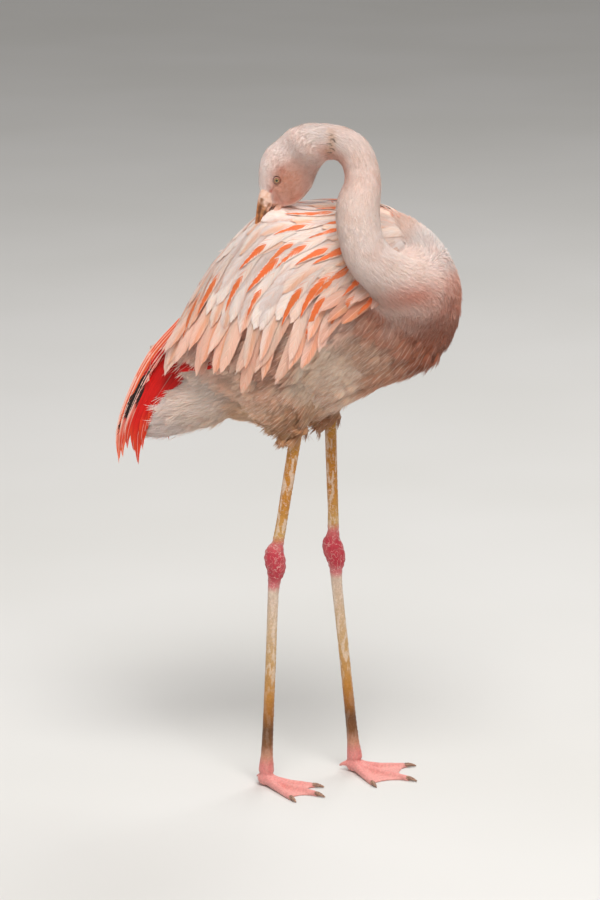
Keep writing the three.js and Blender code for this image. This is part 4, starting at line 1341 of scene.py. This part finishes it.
# ---------------------------------------------------------------------------------------------
# Eyes
# A wet dark ball with a pale yellow iris round a small black pupil, set in the opening of the lids.
# ---------------------------------------------------------------------------------------------
PUPIL = 0.0014
IRIS = 0.0030
EYE_COLOURS = [     # distance from the middle of the iris, colour
    (0.0, (8, 6, 6)), (PUPIL, (8, 6, 6)), (PUPIL + 0.0001, (168, 138, 78)), (0.0019, (214, 190, 128)),
    (0.0022, (172, 138, 88)), (0.0026, (96, 66, 44)), (IRIS + 0.0003, (40, 26, 20)), (0.006, (30, 20, 16)),
]
wet = {"Coat Weight": 1.0, "Coat Roughness": 0.02}
eye_finish, tree, shader, place = material("eye", rough=0.08, more=wet)
tint = kept(tree, "tint")
rays = ramp(tree, noise(tree, place, 1800, detail=2), 0.35, 0.7, 0.0, 0.30)
tree.links.new(mixed(tree, rays, tint, (0.6, 0.5, 0.4), "MULTIPLY"), shader.inputs["Base Color"])
for side_name, sign in SIDES.items():
    ball = bmesh.new()
    bmesh.ops.create_uvsphere(ball, u_segments=40, v_segments=36, radius=EYE_RADIUS)
    lie = head_frame[:3, :3] @ np.array([0, -sign, 0])
    turn = Vector((0, 0, 1)).rotation_difference(Vector(lie)).to_matrix().to_4x4()
    centre = eye_at[side_name] - lie * EYE_SUNK
    bmesh.ops.transform(ball, matrix=Matrix.Translation(centre) @ turn, verts=ball.verts)
    mesh = bpy.data.meshes.new(f"eyeball_{side_name}")
    ball.to_mesh(mesh)
    ball.free()
    away = get(mesh, "co") - centre
    ring = np.linalg.norm(away - (away @ lie)[:, None] * lie, axis=1)
    ring = np.where(away @ lie > 0, ring, 1.0)
    reach, table = zip(*EYE_COLOURS)
    store_tint(mesh, along_table(ring, reach, colours(table)))
    mesh.shade_smooth()
    mesh.materials.append(eye_finish)
    eyeball = new_object(f"eyeball_{side_name}", mesh)
    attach(eyeball, "root")
    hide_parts(f"eye_{side_name}")

# ---------------------------------------------------------------------------------------------
# Claws
# Short blunt claws of worn brown horn at the toes' ends.
# ---------------------------------------------------------------------------------------------
claw_finish, tree, shader, place = material("claw", rough=0.5)
worn = ramp(tree, noise(tree, place, 600, detail=2), 0.35, 0.65)
tree.links.new(mixed(tree, worn, rgb(120, 86, 70), rgb(176, 136, 112)), shader.inputs["Base Color"])
bump(tree, shader, noise(tree, place, 900, detail=3), 0.0002, 0.5)
for toe in ("inner", "middle", "outer"):
    for side_name in SIDES:
        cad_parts[f"claw_{toe}_{side_name}"].material_slots[0].material = claw_finish

# ---------------------------------------------------------------------------------------------
# Coat of the head, neck and body
# Small feathers root in the skin and lie along it: velvet on the head, neck, breast and back, broad
# frayed ones on the belly, loose down on the thighs and vent. One tree of nodes plants them all.
# ---------------------------------------------------------------------------------------------
BODY_FLOW = [     # where on the body, and which way the feathers there point, backward and up
    (0.195, 0.620, -0.25, -0.97), (0.170, 0.560, -0.50, -0.87), (0.120, 0.520, -0.80, -0.60),
    (0.150, 0.680, -0.90, -0.30), (0.120, 0.712, -1.00, -0.02), (0.050, 0.715, -1.00, -0.05),
    (0.000, 0.715, -1.00, -0.12), (-0.080, 0.660, -0.80, -0.60), (-0.140, 0.570, -0.60, -0.80),
    (0.070, 0.560, -0.80, -0.60), (0.000, 0.500, -0.80, -0.60), (0.030, 0.460, -0.85, -0.50),
    (-0.050, 0.450, -0.90, -0.40), (-0.120, 0.450, -0.95, -0.30), (-0.170, 0.430, -0.98, -0.20),
    (0.005, 0.415, -0.30, -0.95),
]


def body_flow(points):
    """The lie of the body's feathers in the side view, without its part across the body."""
    x, _, z = (points - home).T
    return np.insert(side_flow(x, z, BODY_FLOW), 1, 0, axis=1)


def coat_template(name, rng, fingers, base_rows, tip_rows, half, spread, rise, camber, uneven):
    """One tuft of unit length along +X: a web that parts into pointed fingers."""
    verts, faces, along, across = [], [], [], []
    bounds = np.linspace(-1, 1, fingers + 1)

    def corner(t, side, lift=0.0, slip=0.0):
        """A new corner at a share t along the tuft and a side from -1 to 1; returns its number."""
        wide = half * (0.35 + 0.65 * min(t / 0.5, 1)) + spread * t * t
        verts.append((t, side * wide + slip, rise * (1 - (1 - t) ** 2) - camber * side * side + lift))
        along.append(t)
        across.append(side)
        return len(verts) - 1

    web = [[corner(t, side) for side in bounds] for t in base_rows]
    for low, high in zip(web, web[1:]):
        for k in range(fingers):
            faces.append((low[k], high[k], high[k + 1], low[k + 1]))
    for k in range(fingers):
        middle, part = (bounds[k] + bounds[k + 1]) / 2, (bounds[k + 1] - bounds[k]) / 2
        ends = 1 - 0.22 * middle * middle + uneven * rng.uniform(-1, 0.4)
        first, second = (web[-1][k], web[-1][k + 1]) if base_rows else (None, None)
        if first is None:
            first, second = corner(0, middle - part * 0.5), corner(0, middle + part * 0.5)
        start = base_rows[-1] if base_rows else 0
        lift = rise * rng.uniform(-0.25, 0.3)
        slip = spread * rng.uniform(-0.35, 0.35)
        for share in tip_rows[:-1]:
            t = start + (ends - start) * share
            thin = part * (1 - 0.55 * share)
            left = corner(t, middle - thin, lift * share**2, slip * share)
            right = corner(t, middle + thin, lift * share**2, slip * share)
            faces.append((first, left, right, second))
            first, second = left, right
        faces.append((first, corner(ends, middle, lift, slip), second))
    mesh = bpy.data.meshes.new(name)
    mesh.from_pydata(verts, [], faces)
    store(mesh, "along", along)
    store(mesh, "across", across)
    mesh.shade_smooth()
    return new_object(name, mesh)


TUFT_INPUTS = (
    ("Skin", "Geometry"), ("Cover", "String"), ("Reach", "String"), ("Spacing", "Float"), ("Seed", "Int"),
    ("Wander", "Float"), ("Tuft A", "Object"), ("Tuft B", "Object"), ("Tuft C", "Object"),
    ("Finish", "Material"),
)
CROWD = 1.6          # tufts tried for on a square of one spacing, before those too close are dropped


def tuft_tree():
    """Plants three kinds of tuft over a skin, each turned to the lie of the coat."""
    tree = bpy.data.node_groups.new("tufts", "GeometryNodeTree")
    for title, kind in TUFT_INPUTS:
        tree.interface.new_socket(title, in_out="INPUT", socket_type=f"NodeSocket{kind}")
    tree.interface.new_socket("Tufts", in_out="OUTPUT", socket_type="NodeSocketGeometry")
    given = tree.nodes.new("NodeGroupInput").outputs

    def named(key, kind="FLOAT"):
        """What the skin keeps under a name."""
        return node(tree, "GeometryNodeInputNamedAttribute", {"Name": key}, data_type=kind).outputs[0]

    def chance(low, high, salt):
        """A different number for each tuft."""
        made = node(tree, "FunctionNodeRandomValue", {2: low, 3: high, 8: salt}, data_type="FLOAT")
        return made.outputs[1]

    crowd = maths(tree, "DIVIDE", CROWD, maths(tree, "MULTIPLY", given["Spacing"], given["Spacing"]))
    scattered = node(tree, "GeometryNodeDistributePointsOnFaces", {
        "Mesh": given["Skin"], "Distance Min": given["Spacing"], "Density Max": crowd,
        "Density Factor": named(given["Cover"]), "Seed": given["Seed"],
    }, distribute_method="POISSON")
    points = scattered.outputs["Points"]
    root = node(tree, "GeometryNodeInputPosition").outputs[0]
    for key, kind, value in (("root_at", "FLOAT_VECTOR", root), ("vary", "FLOAT", chance(0.0, 1.0, 5))):
        points = node(tree, "GeometryNodeStoreNamedAttribute", {
            "Geometry": points, "Name": key, "Value": value,
        }, data_type=kind, domain="POINT").outputs[0]
    lie = node(tree, "FunctionNodeAxesToRotation", {
        "Primary Axis": scattered.outputs["Normal"], "Secondary Axis": named("flow", "FLOAT_VECTOR"),
    }, primary_axis="Z", secondary_axis="X").outputs[0]
    turns = [maths(tree, "MULTIPLY", given["Wander"], chance(-1.0, 1.0, salt)) for salt in (6, 7, 8)]
    pitch = maths(tree, "SUBTRACT", maths(tree, "MULTIPLY", turns[1], 0.5), named("lean"))
    sway = node(tree, "ShaderNodeCombineXYZ", {0: turns[0], 1: pitch, 2: turns[2]}).outputs[0]
    turned = node(tree, "FunctionNodeEulerToRotation", {0: sway}).outputs[0]
    rotation = node(
        tree, "FunctionNodeRotateRotation", {0: lie, 1: turned}, rotation_space="LOCAL"
    ).outputs[0]
    tufts = tree.nodes.new("GeometryNodeJoinGeometry")
    for title in ("Tuft A", "Tuft B", "Tuft C"):
        held = node(tree, "GeometryNodeObjectInfo", {"Object": given[title], "As Instance": True})
        tree.links.new(held.outputs["Geometry"], tufts.inputs[0])
    pick = node(tree, "FunctionNodeRandomValue", {4: 0, 5: 2, 8: 9}, data_type="INT").outputs[2]
    scale = maths(tree, "MULTIPLY", named(given["Reach"]), chance(0.82, 1.15, 10))
    rows = node(tree, "GeometryNodeInstanceOnPoints", {
        "Points": points, "Instance": tufts.outputs[0], "Pick Instance": True, "Instance Index": pick,
        "Rotation": rotation, "Scale": scale,
    }).outputs[0]
    whole = node(tree, "GeometryNodeRealizeInstances", {0: rows}).outputs[0]
    done = node(tree, "GeometryNodeSetMaterial", {"Geometry": whole, "Material": given["Finish"]}).outputs[0]
    tree.links.new(done, tree.nodes.new("NodeGroupOutput").inputs[0])
    return tree


tuft_group = tuft_tree()
tuft_sockets = {
    item.name: item.identifier for item in tuft_group.interface.items_tree if item.in_out == "INPUT"
}


def patches(places, size):
    """Smooth unevenness from about -1 to 1 over places."""
    return lumpy(places, size) * 1.4


# Where each kind of tuft grows, how long it is and which way it lies, for every place of the skin.
ground = get(plumed_skin, "co")
x, y, z = (ground - home).T
out = np.abs(y)
neck_here, nearest = neck_share(ground)
knot_here = neck_knot[nearest]
head_here = head_share(ground)
head_at = in_head(ground)
eye_ring = np.hypot(head_at[:, 0] - EYE_FORWARD, head_at[:, 2] - EYE_UP)
on_face = step(eye_ring, 0.0042, 0.0050) * step(past_edge(head_at), 0.0016, 0.0002)
slender = neck_here * step(knot_here, 0.8, 2.6)
wing_front = np.where(y > 0, 0.062, 0.100)     # ahead of this the velvet covers the wing
wing_here = (
    step(z, wing_edge(x) + 0.004, wing_edge(x) + 0.018)
    * step(out, mantle_edge(x) + 0.002, mantle_edge(x) + 0.012)
    * step(x, wing_front + 0.012, wing_front)
    * step(x, -0.160, -0.150)
)
body_here = (1 - slender) * (1 - head_here) * (1 - wing_here)
thigh_back, thigh_front = (side.x - home[0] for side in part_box("thigh_right"))
by_thigh = step(x, thigh_back - 0.02, thigh_back) * step(x, thigh_front + 0.02, thigh_front)
at_thigh = by_thigh * step(z, 0.462, 0.440)
at_vent = step(x, -0.020, -0.065) * step(z, 0.545, 0.505)
downy = np.maximum(at_thigh, at_vent) * body_here
body_here = body_here * (1 - step(x, -0.118, -0.130) * step(z, 0.495, 0.510))     # bare at the tail's root
velvet_edge = 0.555 - 0.35 * (x - 0.16)
velvety = np.maximum(step(z, velvet_edge, velvet_edge + 0.030), step(x, 0.150, 0.175))
velvety = np.maximum(velvety, at_vent)
front_edge = step(x, 0.118, 0.130) * step(x, 0.165, 0.145) * step(z, 0.60, 0.64)

flow = body_flow(ground)
flow[:, 1] += bell(np.hypot(x - 0.145, z - 0.680), 0.035)
flow += (neck_way[nearest] - flow) * slender[:, None]
flow += (-head_frame[:3, 0] - flow) * head_here[:, None]
store(plumed_skin, "flow", flow, "FLOAT_VECTOR")
covers = {
    "head": head_here * on_face,
    "neck": slender * (1 - head_here),
    "breast": body_here * np.maximum(velvety, neck_here),
    "body": body_here * (1 - np.maximum(velvety, neck_here)) * (1 - 0.5 * downy),
    "down": downy * (1 - 0.6 * at_vent),
}
reaches = {
    "head": np.interp(head_at[:, 0], [-0.04, 0.0, 0.03, 0.05], [0.0052, 0.0042, 0.0034, 0.0022]),
    "neck": np.interp(knot_here, [0, 2, 4, 8, 11], [0.0105, 0.0092, 0.0080, 0.0065, 0.0056]),
    "breast": 0.0110 + 0.0050 * at_vent,
    "body": np.full(len(ground), 0.024),
    "down": 0.026 - 0.009 * at_thigh,
}
ruffled = body_here * velvety * step(x, 0.03, 0.09) * step(z, 0.67, 0.61)
ruffled = ruffled * np.clip(patches(ground, 0.008), -0.2, 1.0)
store(plumed_skin, "lean", 0.10 * front_edge * (out > 0.03) + 0.22 * ruffled)
for kind in covers:
    store(plumed_skin, f"cover_{kind}", covers[kind])
    store(plumed_skin, f"reach_{kind}", reaches[kind])

VELVET = dict(fingers=3, base_rows=(), tip_rows=(0.55, 1.0), camber=0.03, uneven=0.15)
COATS = {     # spacing, wander and the tuft's form
    "head": (0.00105, 0.30, dict(VELVET, half=0.12, spread=0.16, rise=0.17)),
    "neck": (0.00125, 0.17, dict(VELVET, half=0.10, spread=0.12, rise=0.13)),
    "breast": (0.00150, 0.16, dict(VELVET, half=0.09, spread=0.11, rise=0.15)),
    "body": (0.00375, 0.11, dict(
        fingers=7, base_rows=(0.0, 0.30, 0.50), tip_rows=(0.5, 1.0), half=0.20, spread=0.08, rise=0.14,
        camber=0.04, uneven=0.14,
    )),
    "down": (0.00340, 0.22, dict(
        fingers=6, base_rows=(), tip_rows=(0.3, 0.7, 1.0), half=0.05, spread=0.24, rise=0.16,
        camber=0.0, uneven=0.25,
    )),
}
FIRST_SEED = 20
coat_finish = vane_material("coat", FLAME_ORANGE, SOFT_KERATIN)


def coat_tints(kind, roots, vary, along):
    """The coat's colour: the skin's markings, uneven from place to place and paler at the tips."""
    darkest, spread = (0.91, 0.13) if kind == "head" else (0.95, 0.08)
    base = markings(roots) * (darkest + spread * vary)[:, None]
    x, _, z = (roots - home).T
    mottle = patches(roots, 0.015)
    if kind == "head":
        fine = patches(roots, 0.004)
        base = blend(base, rgb(250, 226, 214), 0.30 * step(fine, 0.0, 0.7))
        base = blend(base, rgb(206, 130, 104), 0.22 * step(-fine, 0.1, 0.8))
    elif kind == "neck":
        base = blend(base, rgb(226, 188, 170), 0.35 * step(mottle, 0.1, 0.8))
        soiled = (vary * 97 % 1) < 0.02
        base = np.where(soiled[:, None], base * np.array([0.80, 0.76, 0.73]), base)
    light = step(base[:, 2], 0.08, 0.45)     # dark plumage has no pale edges
    if kind == "breast":
        low = step(z, 0.70, 0.62)
        base = blend(base, rgb(248, 222, 210), 0.32 * low * light * step(mottle, 0.0, 0.7))
        base = blend(base, rgb(190, 108, 78), 0.30 * low * (x > 0) * step(-mottle, 0.0, 0.7))
        dusky = ((vary * 57 % 1) < 0.03) & (x > 0.15)
        base = np.where(dusky[:, None], base * np.array([0.62, 0.52, 0.48]), base)
    elif kind in ("body", "down"):
        base = blend(base, rgb(252, 230, 212), 0.24 * light * step(mottle, 0.0, 0.7))
        base = base * (0.93 + 0.07 * vary)[:, None]
    root_shade = 0.05 if kind in ("head", "neck") else 0.08
    whole = base[:, None, :] * (1 - root_shade * step(along, 0.5, 0.0))[..., None]
    return towards(whole, np.array([1.0, 0.985, 0.97]), 0.10 * light[:, None] * step(along, 0.6, 1.0))


def planted(kind, seed):
    """One coat piece: tufts grown over the skin, then coloured and mapped."""
    spacing, wander, form = COATS[kind]
    rng = np.random.default_rng(seed)
    templates = [coat_template(f"tuft_{kind}_{letter}", rng, **form) for letter in "abc"]
    obj = new_object(f"ground_{kind}", plumed_skin)
    modifier = obj.modifiers.new("tufts", "NODES")
    modifier.node_group = tuft_group
    settings = {
        "Cover": f"cover_{kind}", "Reach": f"reach_{kind}", "Spacing": spacing, "Seed": seed,
        "Wander": wander, "Tuft A": templates[0], "Tuft B": templates[1], "Tuft C": templates[2],
        "Finish": coat_finish,
    }
    for title, value in settings.items():
        modifier[tuft_sockets[title]] = value
    mesh = baked(obj, f"coat_{kind}")
    size = len(templates[0].data.vertices)
    for template in templates:
        shape = template.data
        bpy.data.objects.remove(template)
        bpy.data.meshes.remove(shape)

    def read(key, width):
        """A value of every vertex, tuft by tuft."""
        flat = np.empty(len(mesh.vertices) * width, np.float32)
        mesh.attributes[key].data.foreach_get("vector" if width == 3 else "value", flat)
        return flat.reshape(-1, size, width) if width > 1 else flat.reshape(-1, size)

    roots, vary = read("root_at", 3)[:, 0], read("vary", 1)[:, 0]
    along, across = read("along", 1), read("across", 1)
    x, _, z = (roots - home).T
    mantle = step(z, 0.66, 0.70) * step(x, 0.155, 0.12) * (kind == "breast")
    lit = mantle * ((vary * 13 % 1) < 0.20 + 0.25 * step(x, 0.12, 0.09))
    burnt = lit[:, None] * step(along, 0.25, 0.7) * step(np.abs(across - 0.2), 0.9, 0.3) * 0.9
    for attribute in [a.name for a in mesh.attributes if a.domain == "POINT" and not a.is_required]:
        if not attribute.startswith("."):
            mesh.attributes.remove(mesh.attributes[attribute])
    store_tint(mesh, coat_tints(kind, roots, vary, along))
    store(mesh, "burnt", burnt.ravel())
    map_feathers(mesh, roots, size, (across, along), (0.006 * across, 0.026 * along))
    coat = new_object(f"coat_{kind}", mesh)
    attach(coat, "root")


for number, kind in enumerate(COATS):
    planted(kind, FIRST_SEED + number)
